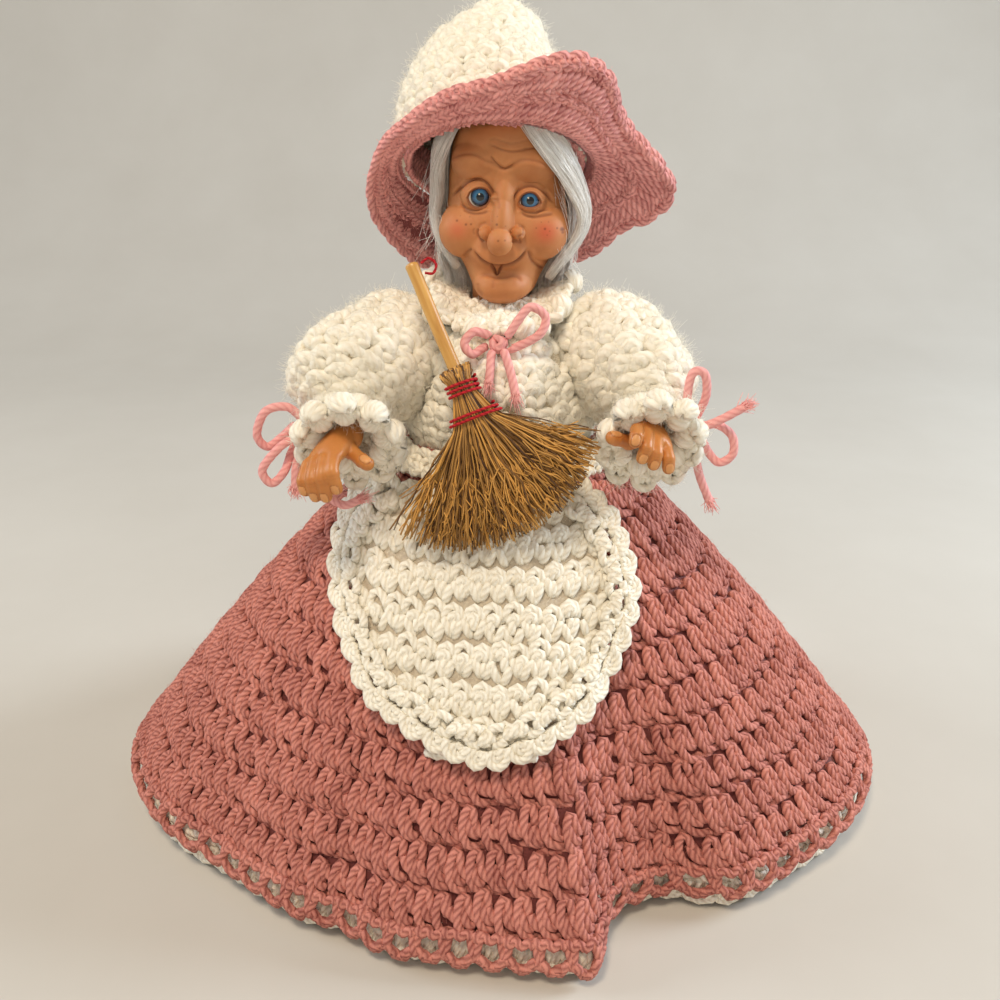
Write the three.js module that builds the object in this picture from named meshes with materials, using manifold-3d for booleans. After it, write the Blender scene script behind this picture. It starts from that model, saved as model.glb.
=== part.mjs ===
// Kitchen witch doll: a crocheted skirt over a foam cone, a vinyl head and hands, a hat and a twig broom.
// Millimetres, +Z up, the doll faces -Y. The origin is the centre of the foam cone's base.
// Left and right are the doll's own, so left is +X.
import * as THREE from "three";
import { mergeVertices } from "three/addons/utils/BufferGeometryUtils.js";
import Module from "manifold-3d";

const wasm = await Module();
wasm.setup();

// Fits
const clearance = 0.3; // between pieces that touch
const armholeClearance = 0.8; // round the ball of each sleeve, which turns

// The height that all above the skirt is set out from
const waistHeight = 142;

// Rows with their heights given from the waist, as heights from the floor
function fromWaist(rows, column = 0) {
  return rows.map((row) => row.map((value, k) => (k === column ? value + waistHeight : value)));
}

// Standing core
const coneBaseRadius = 60;
const coneTopRadius = 24;
const coneHeight = waistHeight + 6;
const dowelRadius = 4;
const dowelBottom = coneHeight - 52;
const dowelTop = waistHeight + 84;
const chenilleRadius = 2.6;

// Skirt, petticoat and apron
const waistRadius = 33; // outside of the skirt at the waist
const hemReachSide = 142;
const hemReachFront = 113;
const hemHeightFront = 8;
const hemHeightSide = 14;
const skirtFlare = 0.05; // how far the slope bows out, as a share of its reach
const skirtWall = 3.4; // level thickness of the crochet
const petticoatWall = 2.6;
const layerGap = 0.42; // level gap between the layers of cloth, which slope
const apronEase = 0.5; // the apron lies flatter than the skirt's folds
const petticoatHem = 0.2; // its lace only just clears what the doll stands on
const waistbandHeight = 8;
const waistbandWall = 2.8;
const apronWall = 3;
const apronBottom = waistHeight - 80;
const apronLean = -5; // the panel hangs a little to the doll's right

// Hem reach in millimetres by angle in degrees from the front, towards the doll's left
const hemOutline = [
  [0, 113], [9, 116.5], [14.5, 118], [19, 104], [25, 97.5], [34, 101], [42, 116], [54, 124.5],
  [70, 138], [86, 145], [104, 141], [122, 131], [140, 125], [158, 112], [176, 117], [194, 112],
  [212, 125], [232, 130], [252, 141], [268, 145], [279, 142.5], [296, 131], [305, 122], [315, 117],
  [326, 114], [333, 110.5], [341, 113], [350, 112.5],
];

// Half width of the apron by height, for the doll's right and left edges
const apronRightEdge = fromWaist([
  [-81, 2], [-76, 18], [-68, 35], [-56, 44], [-42, 50], [-29, 50.5], [-17, 45], [-8, 32],
]);
const apronLeftEdge = fromWaist([
  [-81, 2], [-76, 18], [-68, 33], [-56, 43], [-42, 49], [-29, 47], [-17, 41], [-8, 32],
]);

// Blouse: height, half width, front depth, back depth
const bodiceRings = fromWaist([
  [0.4, 33, 33, 32], [8, 33, 38.5, 34], [17, 30.5, 40, 34], [25, 28.5, 39, 33],
  [32, 27.4, 34.5, 30], [37.5, 23.5, 25, 24], [40.5, 17, 17, 17], [42, 13.5, 14, 13.5],
]);
const bodiceWall = 3;
const stuffingTop = waistHeight + 37.5;

// Collar ruffle
const collarHoleRadius = 11.5;
const collarHoleHeight = waistHeight + 45.2;
const collarWall = 2.4;
const collarFrontReach = 31;
const collarSideReach = 25;
const collarFrontHeight = waistHeight + 40.4;
const collarSideHeight = waistHeight + 51;
const collarWave = 1.3;
const collarWaves = 9;

// Arms
const shoulderX = 36;
const shoulderY = -10;
const shoulderZ = waistHeight + 28;
const puffRadius = 20;
const wristX = 47;
const wristY = -33;
const wristZ = waistHeight + 14;
const gatherRadius = 9.5;
const leftSleeveReach = 61; // outermost point of the puff
const rightSleeveReach = 67;
const sleeveSwing = 1; // how far the puff swings out between shoulder and wrist
const cuffLength = 14;
const cuffPitch = 30; // degrees below level
const leftCuffHalfWidth = 15.6;
const rightCuffHalfWidth = 16.5;
const leftCuffHalfHeight = 18.5;
const rightCuffHalfHeight = 17;
const cuffWall = 3;
const cuffLobes = 8;
const cuffLobeDepth = 1.3;
const forearmPitch = 21; // degrees below level
const forearmRadius = 4.4; // the hand's vinyl stem inside the cuff
const forearmStart = 3.5; // from the gather, along the forearm
const forearmEnd = 12;
const wireInHand = 6; // how far the arm wire reaches into the stem
const fingerRadius = 2.1;

// Hands, with heights from the waist: knuckle, bend and tip of each finger, then root, joint and tip of
// the thumb
const leftHand = {
  fingers: [
    [[40.9, -55, 15.4], [40.3, -59.6, 15.2], [39.4, -61, 11.8]],
    [[44.2, -54, 13.8], [43.5, -59, 11.4], [42, -58.4, 6]],
    [[47.2, -53, 11.6], [46.8, -58, 9.2], [45.8, -57.4, 3.6]],
    [[50.2, -52, 9.2], [50.8, -56, 7], [51, -56, 1.8]],
  ],
  thumb: [[39.5, -49, 9.6], [35.4, -52, 11.6], [32.4, -54.4, 13.2]],
};
const rightHand = {
  fingers: [
    [[-49.6, -57, 7.6], [-49.9, -62, 4.8], [-48.6, -61, -2.8]],
    [[-52.6, -57, 6.6], [-53.3, -62, 3.4], [-51.9, -61, -5.4]],
    [[-55.6, -56, 5.4], [-56.4, -61, 2], [-55.2, -60, -5.6]],
    [[-58.2, -54.4, 4], [-59.4, -59, 0.8], [-58.4, -59, -4.2]],
  ],
  thumb: [[-45.6, -50, 6.9], [-42, -54, 5.4], [-38.6, -57.6, 4.8]],
};

// Yarn of the bows
const yarnDiameter = 2.8;
const knotRadius = 3.1;

// Head
const neckRadius = 9.3;
const neckBottom = waistHeight + 38;
const headYaw = -5; // degrees, the doll looks a little to its right
const headShift = 1.6; // the face sits a little to the left of the neck
const headRoll = 1; // degrees the top of the head leans to its left
const eyeRadius = 4.6;
const eyeSpacing = 15.4;
const eyeHeight = waistHeight + 78.6;
const eyeTilt = 0.5; // the left eye is this much lower, the right eye as much higher
const eyeFront = 17.9; // cornea in front of the head's axis

// Skull and jaw: height, half width, front depth, back depth
const headRings = fromWaist([
  [46.5, 8, 17.5, 9.5], [48.5, 10, 20, 11], [52, 11.5, 20.5, 12.5], [56, 13.5, 20, 15], [61, 16.5, 20, 18],
  [67, 19.3, 20, 20], [72, 20, 19.5, 21.5], [78, 19, 17.8, 22], [85, 18, 18.5, 22.5], [92, 17.5, 19.3, 22.3],
  [98, 16.5, 19.4, 21.5], [103, 14.5, 16.5, 19], [107, 11, 11.5, 14], [109.5, 5, 5, 7],
]);

// Swellings of the face: across, height, amount, width, tall
const faceForms = fromWaist([
  [0, 66.5, 8.5, 3.6, 4.2], [0, 74, 4.5, 2.8, 5], [5.4, 69, 3.6, 2, 2.2], [-5.4, 69, 3.6, 2, 2.2],
  [13, 66.5, 2.4, 5, 4.5], [-13, 66.5, 2.4, 5, 4.5], [7.5, 86.5, 1.6, 4.5, 2.4], [-7.5, 86.5, 1.6, 4.5, 2.4],
  [7.7, 79, -2.6, 4, 3.2], [-7.7, 79, -2.6, 4, 3.2], [0, 50, 2.2, 4.6, 4], [0, 56, -1.8, 7, 1.8],
], 1);

// Hair
const hairHalfSpread = 82; // degrees each side of the back
const lockThickness = 3.6;
const leftLockWidth = 9.5;
const rightLockWidth = 5.4;

// Back hair: height, half width, back depth
const hairRings = fromWaist([
  [52.6, 22, 21], [58, 23.8, 24], [64, 23.6, 25.4], [71, 22.9, 26], [84, 22.6, 26], [93, 20.8, 24],
  [99, 18.5, 22],
]);

// Locks in front of the ears: angle from the front, height, how far the lock stands off the head
const leftLockRoute = fromWaist([
  [44, 90.5, 0.1], [58, 88, 1], [69, 82, 3.5], [75, 74, 5], [78, 66, 4], [76, 59, 3],
], 1);
const rightLockRoute = fromWaist([
  [-54, 92, 0.1], [-70, 87, 0.8], [-78, 78, 1.2], [-80, 69, 1.4], [-79, 61, 1.6],
], 1);

// Hat, on an axis that leans back
const hatBase = new THREE.Vector3(-1.6, 5, waistHeight + 87.5);
const hatLean = 30; // degrees back from upright
const crownWall = 2.8;
const brimHoleRadius = 27.7;
const brimWall = 3;

// Crown: height along the axis, outer radius, sideways lean
const crownProfile = [
  [0, 31.5, 0], [10, 31.2, -0.8], [20, 29, -1.8], [29, 25, -2.6], [38, 20, -2.4], [45, 15.5, 0.4],
  [50.5, 10.4, 1.5], [54.5, 5.5, 2],
];
const crownTip = 57;

// Brim edge: angle from the front towards the doll's left, reach from the axis, height along the axis
const brimOutline = [
  [0, 41, 5.5], [30, 47, 13], [46, 47, 11.7], [60, 43.8, 7.5], [74, 45.7, 4.5], [88, 54.6, -1],
  [97, 59.3, -4.5], [106, 56.2, -8.5], [116, 49.2, -10], [132, 47, -14.5], [156, 46, -15], [180, 46, -13],
  [204, 44.6, -15.5], [220, 42.4, -18], [236, 41.2, -15], [258, 41.4, -9.5], [276, 39.7, -4.5], [296, 38.1, 0], [317, 37.3, 1.6],
  [342, 39.2, 4.3],
];

// Broom, in its own frame: z along the handle, x across the fan, y into the doll
const broomPlace = new THREE.Vector3(-11.5, -42.4, waistHeight + 25);
const broomSwing = 24; // degrees the handle leans to the doll's right
const broomTilt = 18.5; // degrees the handle leans back
const handleRadius = 2.1;
const handleTop = 41;
const handleSeat = -7; // the handle's end inside the twigs
const tuftTop = 5.5;
const strandRoot = -12;
const fanHalfAngle = 51; // degrees
const fanApex = -3;
const fanLengthLong = 49;
const fanLengthShort = 43;
const fanHalfDepth = 4.6;
const strandsAcross = 13;
const strandsDeep = 12;
const threadDiameter = 1;
const threadPitch = 1.5;
const windingEase = 0.06; // more than the fit, as the twigs' outline has corners
const upperWindingHeight = 0;
const lowerWindingHeight = -9;
const hangThreadDiameter = 0.9;
const strandTaper = 0.55; // a strand's tip against its root
const upperTurns = 3;
const lowerTurns = 2;

// Twig head: place along the handle, half width, half depth
const twigSections = [
  [strandRoot, 9, 4.2], [-10.6, 8, 4.1], [-6.6, 6.2, 4], [-2.6, 4.5, 3.9], [2.6, 4.5, 3.9],
  [tuftTop, 5.7, 4.5],
];

const radians = THREE.MathUtils.degToRad;
const vec = (x, y, z) => new THREE.Vector3(x, y, z);

// Smooth value through [key, value...] rows, flat beyond both ends.
function valueAt(rows, key, column = 1) {
  if (key <= rows[0][0]) return rows[0][column];
  const last = rows[rows.length - 1];
  if (key >= last[0]) return last[column];
  const i = rows.findIndex((row) => row[0] > key) - 1;
  const at = (k) => rows[Math.min(Math.max(k, 0), rows.length - 1)];
  return hermite(at(i - 1), at(i), at(i + 1), at(i + 2), key, column);
}

// The same for rows by angle, which close on themselves.
function valueAround(rows, degrees, column = 1) {
  const angle = ((degrees % 360) + 360) % 360;
  const after = rows.findIndex((row) => row[0] > angle);
  const i = (after < 0 ? rows.length : after) - 1;
  const at = (k) => {
    const turn = Math.floor(k / rows.length);
    const row = [...rows[k - turn * rows.length]];
    row[0] += 360 * turn;
    return row;
  };
  return hermite(at(i - 1), at(i), at(i + 1), at(i + 2), angle, column);
}

function hermite(before, from, to, after, key, column) {
  const span = to[0] - from[0];
  const slope = (a, b) => (b[0] === a[0] ? 0 : (b[column] - a[column]) / (b[0] - a[0]));
  const s = (key - from[0]) / span;
  const startSlope = slope(before, to) * span;
  const endSlope = slope(from, after) * span;
  return (
    (2 * s ** 3 - 3 * s ** 2 + 1) * from[column] +
    (s ** 3 - 2 * s ** 2 + s) * startSlope +
    (3 * s ** 2 - 2 * s ** 3) * to[column] +
    (s ** 3 - s ** 2) * endSlope
  );
}

// Geometry from points and triangles, turned to face outwards.
function geometryOf(points, triangles) {
  let volume = 0;
  for (const [a, b, c] of triangles) {
    volume += points[a].dot(vec().crossVectors(points[b], points[c]));
  }
  const index = triangles.flatMap(([a, b, c]) => (volume < 0 ? [a, c, b] : [a, b, c]));
  const geometry = new THREE.BufferGeometry().setFromPoints(points);
  geometry.setIndex(index);
  return geometry;
}

// Closed body through rings of points. Its ends are closed by a fan, by a ladder for rings that are a front
// row and its back row turned round, or by joining the last ring to the first. From ring flipFrom on, the
// facets are split the other way, so that the two sides of a shell have the same facets.
function bodyOfRings(rings, ends = "fan", flipFrom = Infinity) {
  const count = rings[0].length;
  const points = rings.flat();
  const triangles = [];
  const spans = ends === "joined" ? rings.length : rings.length - 1;
  for (let i = 0; i < spans; i++) {
    const low = i * count;
    const high = ((i + 1) % rings.length) * count;
    for (let j = 0; j < count; j++) {
      const next = (j + 1) % count;
      if (i < flipFrom) triangles.push([low + j, low + next, high + next], [low + j, high + next, high + j]);
      else triangles.push([low + j, low + next, high + j], [low + next, high + next, high + j]);
    }
  }
  if (ends === "fan") {
    fanCap(points, triangles, rings[0], 0, true);
    fanCap(points, triangles, rings[rings.length - 1], (rings.length - 1) * count, false);
  }
  if (ends === "ladder") {
    ladderCap(triangles, count, 0, true);
    ladderCap(triangles, count, (rings.length - 1) * count, false);
  }
  return geometryOf(points, triangles);
}

function ladderCap(triangles, count, start, first) {
  for (let j = 0; j < count / 2 - 1; j++) {
    const [a, b, c, d] = [j, j + 1, count - 2 - j, count - 1 - j].map((k) => start + k);
    if (first) triangles.push([a, c, b], [a, d, c]);
    else triangles.push([a, b, c], [a, c, d]);
  }
}

function fanCap(points, triangles, ring, start, first) {
  const middle = points.length;
  points.push(ring.reduce((sum, p) => sum.add(p), vec(0, 0, 0)).divideScalar(ring.length));
  for (let j = 0; j < ring.length; j++) {
    const next = (j + 1) % ring.length;
    triangles.push(first ? [middle, start + next, start + j] : [middle, start + j, start + next]);
  }
}

// Ring of points round an axis: pointAt(angle in degrees from the front).
function ringAround(count, pointAt) {
  return Array.from({ length: count }, (_, j) => pointAt((360 * j) / count));
}

// Direction from the Z axis at an angle from the front, towards the doll's left.
const outwards = (degrees) => vec(Math.sin(radians(degrees)), -Math.cos(radians(degrees)), 0);

// Closed shell between an outer and an inner surface of rings, open at both ends.
function shellOfRings(outer, inner) {
  return bodyOfRings([...outer, ...inner.reverse()], "joined", outer.length);
}

function tubeAlong(points, diameter, steps, sides = 8) {
  const section = new THREE.Shape();
  for (let k = 0; k < sides; k++) {
    const turn = (2 * Math.PI * k) / sides;
    const x = (diameter / 2) * Math.cos(turn);
    const y = (diameter / 2) * Math.sin(turn);
    if (k) section.lineTo(x, y);
    else section.moveTo(x, y);
  }
  const path = new THREE.CatmullRomCurve3(points);
  return new THREE.ExtrudeGeometry(section, { steps, extrudePath: path, curveSegments: 1 });
}

function solidOf(geometry) {
  const bare = geometry.clone();
  bare.deleteAttribute("normal");
  bare.deleteAttribute("uv");
  const merged = mergeVertices(bare, 1e-4);
  const vertProperties = merged.attributes.position.array;
  const triVerts = new Uint32Array(merged.index.array);
  return new wasm.Manifold(new wasm.Mesh({ numProp: 3, vertProperties, triVerts }));
}

function geometryOfSolid(solid) {
  const mesh = solid.getMesh();
  const geometry = new THREE.BufferGeometry();
  geometry.setAttribute("position", new THREE.BufferAttribute(mesh.vertProperties, 3));
  geometry.setIndex(new THREE.BufferAttribute(mesh.triVerts, 1));
  return geometry;
}

function cut(geometry, ...tools) {
  return geometryOfSolid(tools.reduce((solid, tool) => solid.subtract(solidOf(tool)), solidOf(geometry)));
}

function join(geometry, ...others) {
  return geometryOfSolid(others.reduce((solid, other) => solid.add(solidOf(other)), solidOf(geometry)));
}

function rod(from, to, radius, sides = 16) {
  const along = vec().subVectors(to, from);
  const geometry = new THREE.CylinderGeometry(radius, radius, along.length(), sides);
  const turn = new THREE.Quaternion().setFromUnitVectors(vec(0, 1, 0), along.clone().normalize());
  geometry.applyQuaternion(turn);
  const middle = vec().addVectors(from, to).divideScalar(2);
  return geometry.translate(middle.x, middle.y, middle.z);
}

function ball(centre, radius, across = 20, tall = 14) {
  return new THREE.SphereGeometry(radius, across, tall).translate(centre.x, centre.y, centre.z);
}

const finish = (color, roughness, metalness = 0) =>
  new THREE.MeshStandardMaterial({ color, roughness, metalness });
const pinkYarn = finish(0xd98c86, 0.95);
const creamYarn = finish(0xf0e6cf, 0.95);
const whiteYarn = finish(0xf4efe6, 0.95);
const vinyl = finish(0xc98250, 0.45);
const handVinyl = finish(0xc87d32, 0.5);
const hairFibre = finish(0xe9e7e2, 0.6);
const paleWood = finish(0xd6a961, 0.6);
const dowelWood = finish(0xcfae7a, 0.7);
const twigs = finish(0xa8762e, 0.85);
const redThread = finish(0xa5222a, 0.7);
const foam = finish(0xf6f6f2, 0.9);
const stuffingFibre = finish(0xfafafa, 1);
const chenille = finish(0xe6e2da, 1);
const eyeGlass = finish(0x3f79a8, 0.08);

const doll = new THREE.Group();

function place(name, geometry, material, group = doll) {
  const mesh = new THREE.Mesh(geometry, material);
  mesh.name = name;
  group.add(mesh);
  return mesh;
}

// Standing core
function coneRadius(height, extra = 0) {
  return coneBaseRadius + (coneTopRadius - coneBaseRadius) * (height / coneHeight) + extra;
}

function foamCone(extra = 0) {
  const profile = [
    new THREE.Vector2(0, 0),
    new THREE.Vector2(coneRadius(0, extra), 0),
    new THREE.Vector2(coneRadius(coneHeight, extra), coneHeight + extra),
    new THREE.Vector2(0, coneHeight + extra),
  ];
  return new THREE.LatheGeometry(profile, 32).rotateX(Math.PI / 2);
}

function dowel(extra = 0) {
  return rod(vec(0, 0, dowelBottom - extra), vec(0, 0, dowelTop + extra), dowelRadius + extra);
}

place("foam_cone", cut(foamCone(), dowel(clearance)), foam);
place("neck_dowel", dowel(), dowelWood);

// Skirt surface
function hemHeight(angle) {
  return hemHeightFront + (hemHeightSide - hemHeightFront) * Math.sin(radians(angle)) ** 2;
}

function skirtRadius(angle, height) {
  const drop = Math.min((waistHeight - height) / (waistHeight - hemHeight(angle)), 1);
  const sine = Math.sin(radians(angle)) / hemReachSide;
  const cosine = Math.cos(radians(angle)) / hemReachFront;
  const plain = 1 / Math.hypot(sine, cosine);
  const bow = skirtFlare * Math.sin(Math.PI * drop);
  const fold = (valueAround(hemOutline, angle) - plain) * drop ** 2;
  return waistRadius + (plain - waistRadius) * (drop + bow) + fold;
}

function skirtRings(inset, topHeight, bottomOf, rows = 4, count = 48) {
  return Array.from({ length: rows + 1 }, (_, i) =>
    ringAround(count, (angle) => {
      const height = topHeight + (bottomOf(angle) - topHeight) * (rows ? i / rows : 1);
      return outwards(angle).multiplyScalar(skirtRadius(angle, height) - inset).setZ(height);
    }),
  );
}

const skirtSurface = (inset) => skirtRings(inset, waistHeight, hemHeight);
place("skirt", shellOfRings(skirtSurface(0), skirtSurface(skirtWall)), pinkYarn);

// The petticoat goes down the skirt's inside and on past its hem
const petticoatSurface = (inset) => {
  const [edge] = skirtRings(inset, petticoatHem, () => petticoatHem, 0);
  return [...skirtSurface(inset), edge];
};
const petticoatInset = skirtWall + layerGap;
place(
  "petticoat",
  shellOfRings(petticoatSurface(petticoatInset), petticoatSurface(petticoatInset + petticoatWall)),
  whiteYarn,
);

const bandBottom = waistHeight - waistbandHeight;
const bandSurface = (inset) => skirtRings(inset, waistHeight, () => bandBottom, 1);
const bandOutside = bandSurface(-waistbandWall - layerGap);
place("apron_waistband", shellOfRings(bandOutside, bandSurface(-layerGap)), whiteYarn);

// Apron: rows of points from edge to edge that lie on the skirt and bridge its folds
const apronDrape = [-6, -3, 0, 3, 6];
function apronPoint(across, height, lift) {
  let y = -waistRadius;
  for (let k = 0; k < 8; k++) {
    const angle = THREE.MathUtils.radToDeg(Math.atan2(across, -y));
    const reach = Math.max(...apronDrape.map((turn) => skirtRadius(angle + turn, height))) + lift;
    y = -Math.sqrt(Math.max(reach ** 2 - across ** 2, 1));
  }
  return vec(across, y, height);
}

function apronPanel() {
  const columns = 16;
  const rows = 8;
  const top = bandBottom - clearance;
  const rings = [];
  for (let i = 0; i <= rows; i++) {
    const height = top + (apronBottom - top) * Math.sin((Math.PI / 2) * (i / rows));
    const left = valueAt(apronLeftEdge, height);
    const right = valueAt(apronRightEdge, height);
    const row = (lift) =>
      Array.from({ length: columns + 1 }, (_, j) => {
        const across = -right + ((left + right) * j) / columns;
        return apronPoint(across + apronLean, height, lift);
      });
    rings.push([...row(layerGap + apronEase + apronWall), ...row(layerGap + apronEase).reverse()]);
  }
  return bodyOfRings(rings, "ladder");
}

place("apron", apronPanel(), whiteYarn);

// Blouse and stuffing
function oval(angle, halfWidth, front, back) {
  const side = Math.sin(radians(angle));
  const ahead = Math.cos(radians(angle));
  return vec(side * halfWidth, -ahead * (ahead > 0 ? front : back), 0);
}

function bodiceLoft(inset, top) {
  const heights = bodiceRings.map((row) => row[0]).filter((height) => height < top);
  heights.push(top);
  return heights.map((height) => {
    const size = [1, 2, 3].map((column) => valueAt(bodiceRings, height, column) - inset);
    const shoulder = THREE.MathUtils.smoothstep(height, bodiceRings[3][0], stuffingTop);
    return ringAround(28, (angle) => oval(angle, ...size).setZ(height - inset * 0.6 * shoulder));
  });
}

const shoulderAt = (side) => vec(side * shoulderX, shoulderY, shoulderZ);
const armhole = (side) => ball(shoulderAt(side), puffRadius + armholeClearance, 20, 14);
const stuffingHollow = (side) => ball(shoulderAt(side), puffRadius + armholeClearance + clearance, 16, 10);
const bodiceTop = bodiceRings[bodiceRings.length - 1][0];
const bodiceShell = shellOfRings(bodiceLoft(0, bodiceTop), bodiceLoft(bodiceWall, bodiceTop));
place("bodice", cut(bodiceShell, armhole(-1), armhole(1)), creamYarn);

const shoulderWire = (extra = 0) => {
  const end = shoulderX - puffRadius - armholeClearance - clearance;
  return rod(vec(-end, shoulderY, shoulderZ), vec(end, shoulderY, shoulderZ), chenilleRadius + extra, 10);
};
const longWire = rod(shoulderAt(-1), shoulderAt(1), chenilleRadius + clearance, 10);
const stuffing = cut(
  bodyOfRings(bodiceLoft(bodiceWall + clearance, stuffingTop)),
  foamCone(clearance), dowel(clearance), stuffingHollow(-1), stuffingHollow(1), longWire,
);
place("torso_stuffing", stuffing, stuffingFibre);
place("shoulder_wire", shoulderWire(), chenille);

// Collar ruffle
function collarRing(reachShare, drop) {
  return ringAround(45, (angle) => {
    const front = THREE.MathUtils.smoothstep(Math.cos(radians(angle)), 0.3, 1);
    const wave = Math.cos(radians(angle * collarWaves));
    const reach = THREE.MathUtils.lerp(collarSideReach, collarFrontReach, front) + wave;
    const edge = THREE.MathUtils.lerp(collarSideHeight, collarFrontHeight, front) + collarWave * wave;
    const radius = THREE.MathUtils.lerp(collarHoleRadius, reach, reachShare);
    const height = THREE.MathUtils.lerp(collarHoleHeight, edge, reachShare);
    return outwards(angle).multiplyScalar(radius).setZ(height - drop);
  });
}

const collarSpans = [0, 1];
place(
  "collar_ruffle",
  shellOfRings(collarSpans.map((s) => collarRing(s, 0)), collarSpans.map((s) => collarRing(s, collarWall))),
  creamYarn,
);

// Head
const headBottom = headRings[0][0];
const headCentre = (height) => headShift + Math.tan(radians(headRoll)) * Math.max(height - headBottom, 0);

function headRing(height) {
  const size = [1, 2, 3].map((column) => valueAt(headRings, height, column));
  return ringAround(28, (angle) => {
    const point = oval(angle, ...size).setZ(height);
    const facing = THREE.MathUtils.smoothstep(Math.cos(radians(angle)), 0, 0.5);
    let swell = 0;
    for (const [across, tall, amount, width, high] of faceForms) {
      const distance = ((point.x - across) / width) ** 2 + ((height - tall) / high) ** 2;
      swell += amount * Math.exp(-distance);
    }
    point.y -= swell * facing;
    point.x += headCentre(height);
    return point;
  });
}


// Heights of the head's facets above the waist, closer together over the nose and mouth
const facetHeights = [
  48.2, 50.4, 53, 56, 59, 62, 65, 68, 71, 74.5, 78.5, 82.5, 86.5, 91, 96, 101, 105.5, 109.5,
];
const headHeights = [headBottom, ...facetHeights.map((height) => waistHeight + height)];
const head = new THREE.Group();
head.rotation.z = radians(headYaw);
doll.add(head);
const eyeAt = (side) => {
  const height = eyeHeight - side * eyeTilt;
  return vec(headCentre(height) + (side * eyeSpacing) / 2, eyeRadius - eyeFront, height);
};
const neck = rod(vec(0, 0, neckBottom), vec(0, 0, headRings[4][0]), neckRadius, 24);
const skull = cut(
  join(bodyOfRings(headHeights.map(headRing)), neck),
  dowel(clearance),
  ball(eyeAt(-1), eyeRadius + clearance, 12, 9),
  ball(eyeAt(1), eyeRadius + clearance, 12, 9),
);
place("head", skull, vinyl, head);
place("left_eye", ball(eyeAt(1), eyeRadius, 10, 8), eyeGlass, head);
place("right_eye", ball(eyeAt(-1), eyeRadius, 10, 8), eyeGlass, head);

// Hair: an arc of shell round the back of the head, and a lock before each ear
function hairArc(height) {
  const columns = 10;
  const arc = (halfWidth, back) =>
    Array.from({ length: columns + 1 }, (_, j) => {
      const angle = 180 + hairHalfSpread * ((2 * j) / columns - 1);
      return oval(angle, halfWidth, back, back).add(vec(headCentre(height), 0, height));
    });
  const inside = [1, 3].map((column) => Math.max(valueAt(headRings, height, column), neckRadius + headShift));
  const outside = [1, 2].map((column) => valueAt(hairRings, height, column));
  return [...arc(...outside), ...arc(...inside.map((size) => size + clearance * 2)).reverse()];
}

place("hair_back", bodyOfRings(hairRings.map((row) => hairArc(row[0])), "ladder"), hairFibre, head);

function lock(route, width) {
  const stations = 9;
  const rows = route.map((row, i) => [i / (route.length - 1), ...row]);
  const fullness = Array.from({ length: stations }, (_, i) =>
    Math.sin(Math.PI * (0.15 + (0.7 * i) / stations)),
  );
  const centres = fullness.map((full, i) => {
    const [angle, height, lift] = [1, 2, 3].map((column) => valueAt(rows, i / (stations - 1), column));
    const off = lift + (lockThickness / 2) * full + clearance;
    const size = [1, 2, 3].map((column) => valueAt(headRings, height, column) + off);
    return oval(angle, ...size).add(vec(headCentre(height), 0, height));
  });
  const rings = centres.map((centre, i) => {
    const [after, before] = [centres[Math.min(i + 1, stations - 1)], centres[Math.max(i - 1, 0)]];
    const along = vec().subVectors(after, before).normalize();
    const off = vec(centre.x, centre.y, 0).projectOnPlane(along).normalize();
    const across = vec().crossVectors(along, off);
    return Array.from({ length: 10 }, (_, k) => {
      const turn = (2 * Math.PI * k) / 10;
      return centre.clone()
        .addScaledVector(across, (width / 2) * fullness[i] * Math.cos(turn))
        .addScaledVector(off, (lockThickness / 2) * fullness[i] * Math.sin(turn));
    });
  });
  return bodyOfRings(rings);
}

place("left_hair_lock", lock(leftLockRoute, leftLockWidth), hairFibre, head);
place("right_hair_lock", lock(rightLockRoute, rightLockWidth), hairFibre, head);

// Hat
const hatAxis = vec(0, Math.sin(radians(hatLean)), Math.cos(radians(hatLean)));
const hatFront = vec(0, -Math.cos(radians(hatLean)), Math.sin(radians(hatLean)));

function hatPoint(angle, radius, height, lean = 0) {
  return hatBase.clone()
    .addScaledVector(vec(1, 0, 0), radius * Math.sin(radians(angle)) + lean)
    .addScaledVector(hatFront, radius * Math.cos(radians(angle)))
    .addScaledVector(hatAxis, height);
}

function crownRing([height, radius, lean], wall) {
  const inside = Math.max(radius - wall, 1);
  return ringAround(24, (angle) => hatPoint(angle, inside, height - wall * (height / crownTip), lean));
}

const tipLean = crownProfile[crownProfile.length - 1][2];
const crownCap = crownRing([crownTip, 1.6, tipLean], 0);
const crownOutside = [...crownProfile.map((row) => crownRing(row, 0)), crownCap].reverse();
const crownInside = crownProfile.filter((row, i) => i % 2 === 0).map((row) => crownRing(row, crownWall));
place("hat_crown", bodyOfRings([...crownOutside, ...crownInside]), creamYarn);

// The brim is level under the crown's rim, then rises or falls to its edge
function brimRing(part, drop) {
  const seat = crownProfile[0][1] + clearance;
  return ringAround(34, (angle) => {
    const reach = valueAround(brimOutline, angle);
    const lift = valueAround(brimOutline, angle, 2);
    const radius = part < 0 ? brimHoleRadius : THREE.MathUtils.lerp(seat, reach, part);
    return hatPoint(angle, radius, lift * Math.max(part, 0) ** 1.2 - clearance - drop);
  });
}

const brimParts = [-1, 0, 0.5, 1];
place(
  "hat_brim",
  shellOfRings(brimParts.map((part) => brimRing(part, 0)), brimParts.map((part) => brimRing(part, brimWall))),
  pinkYarn,
);

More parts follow.
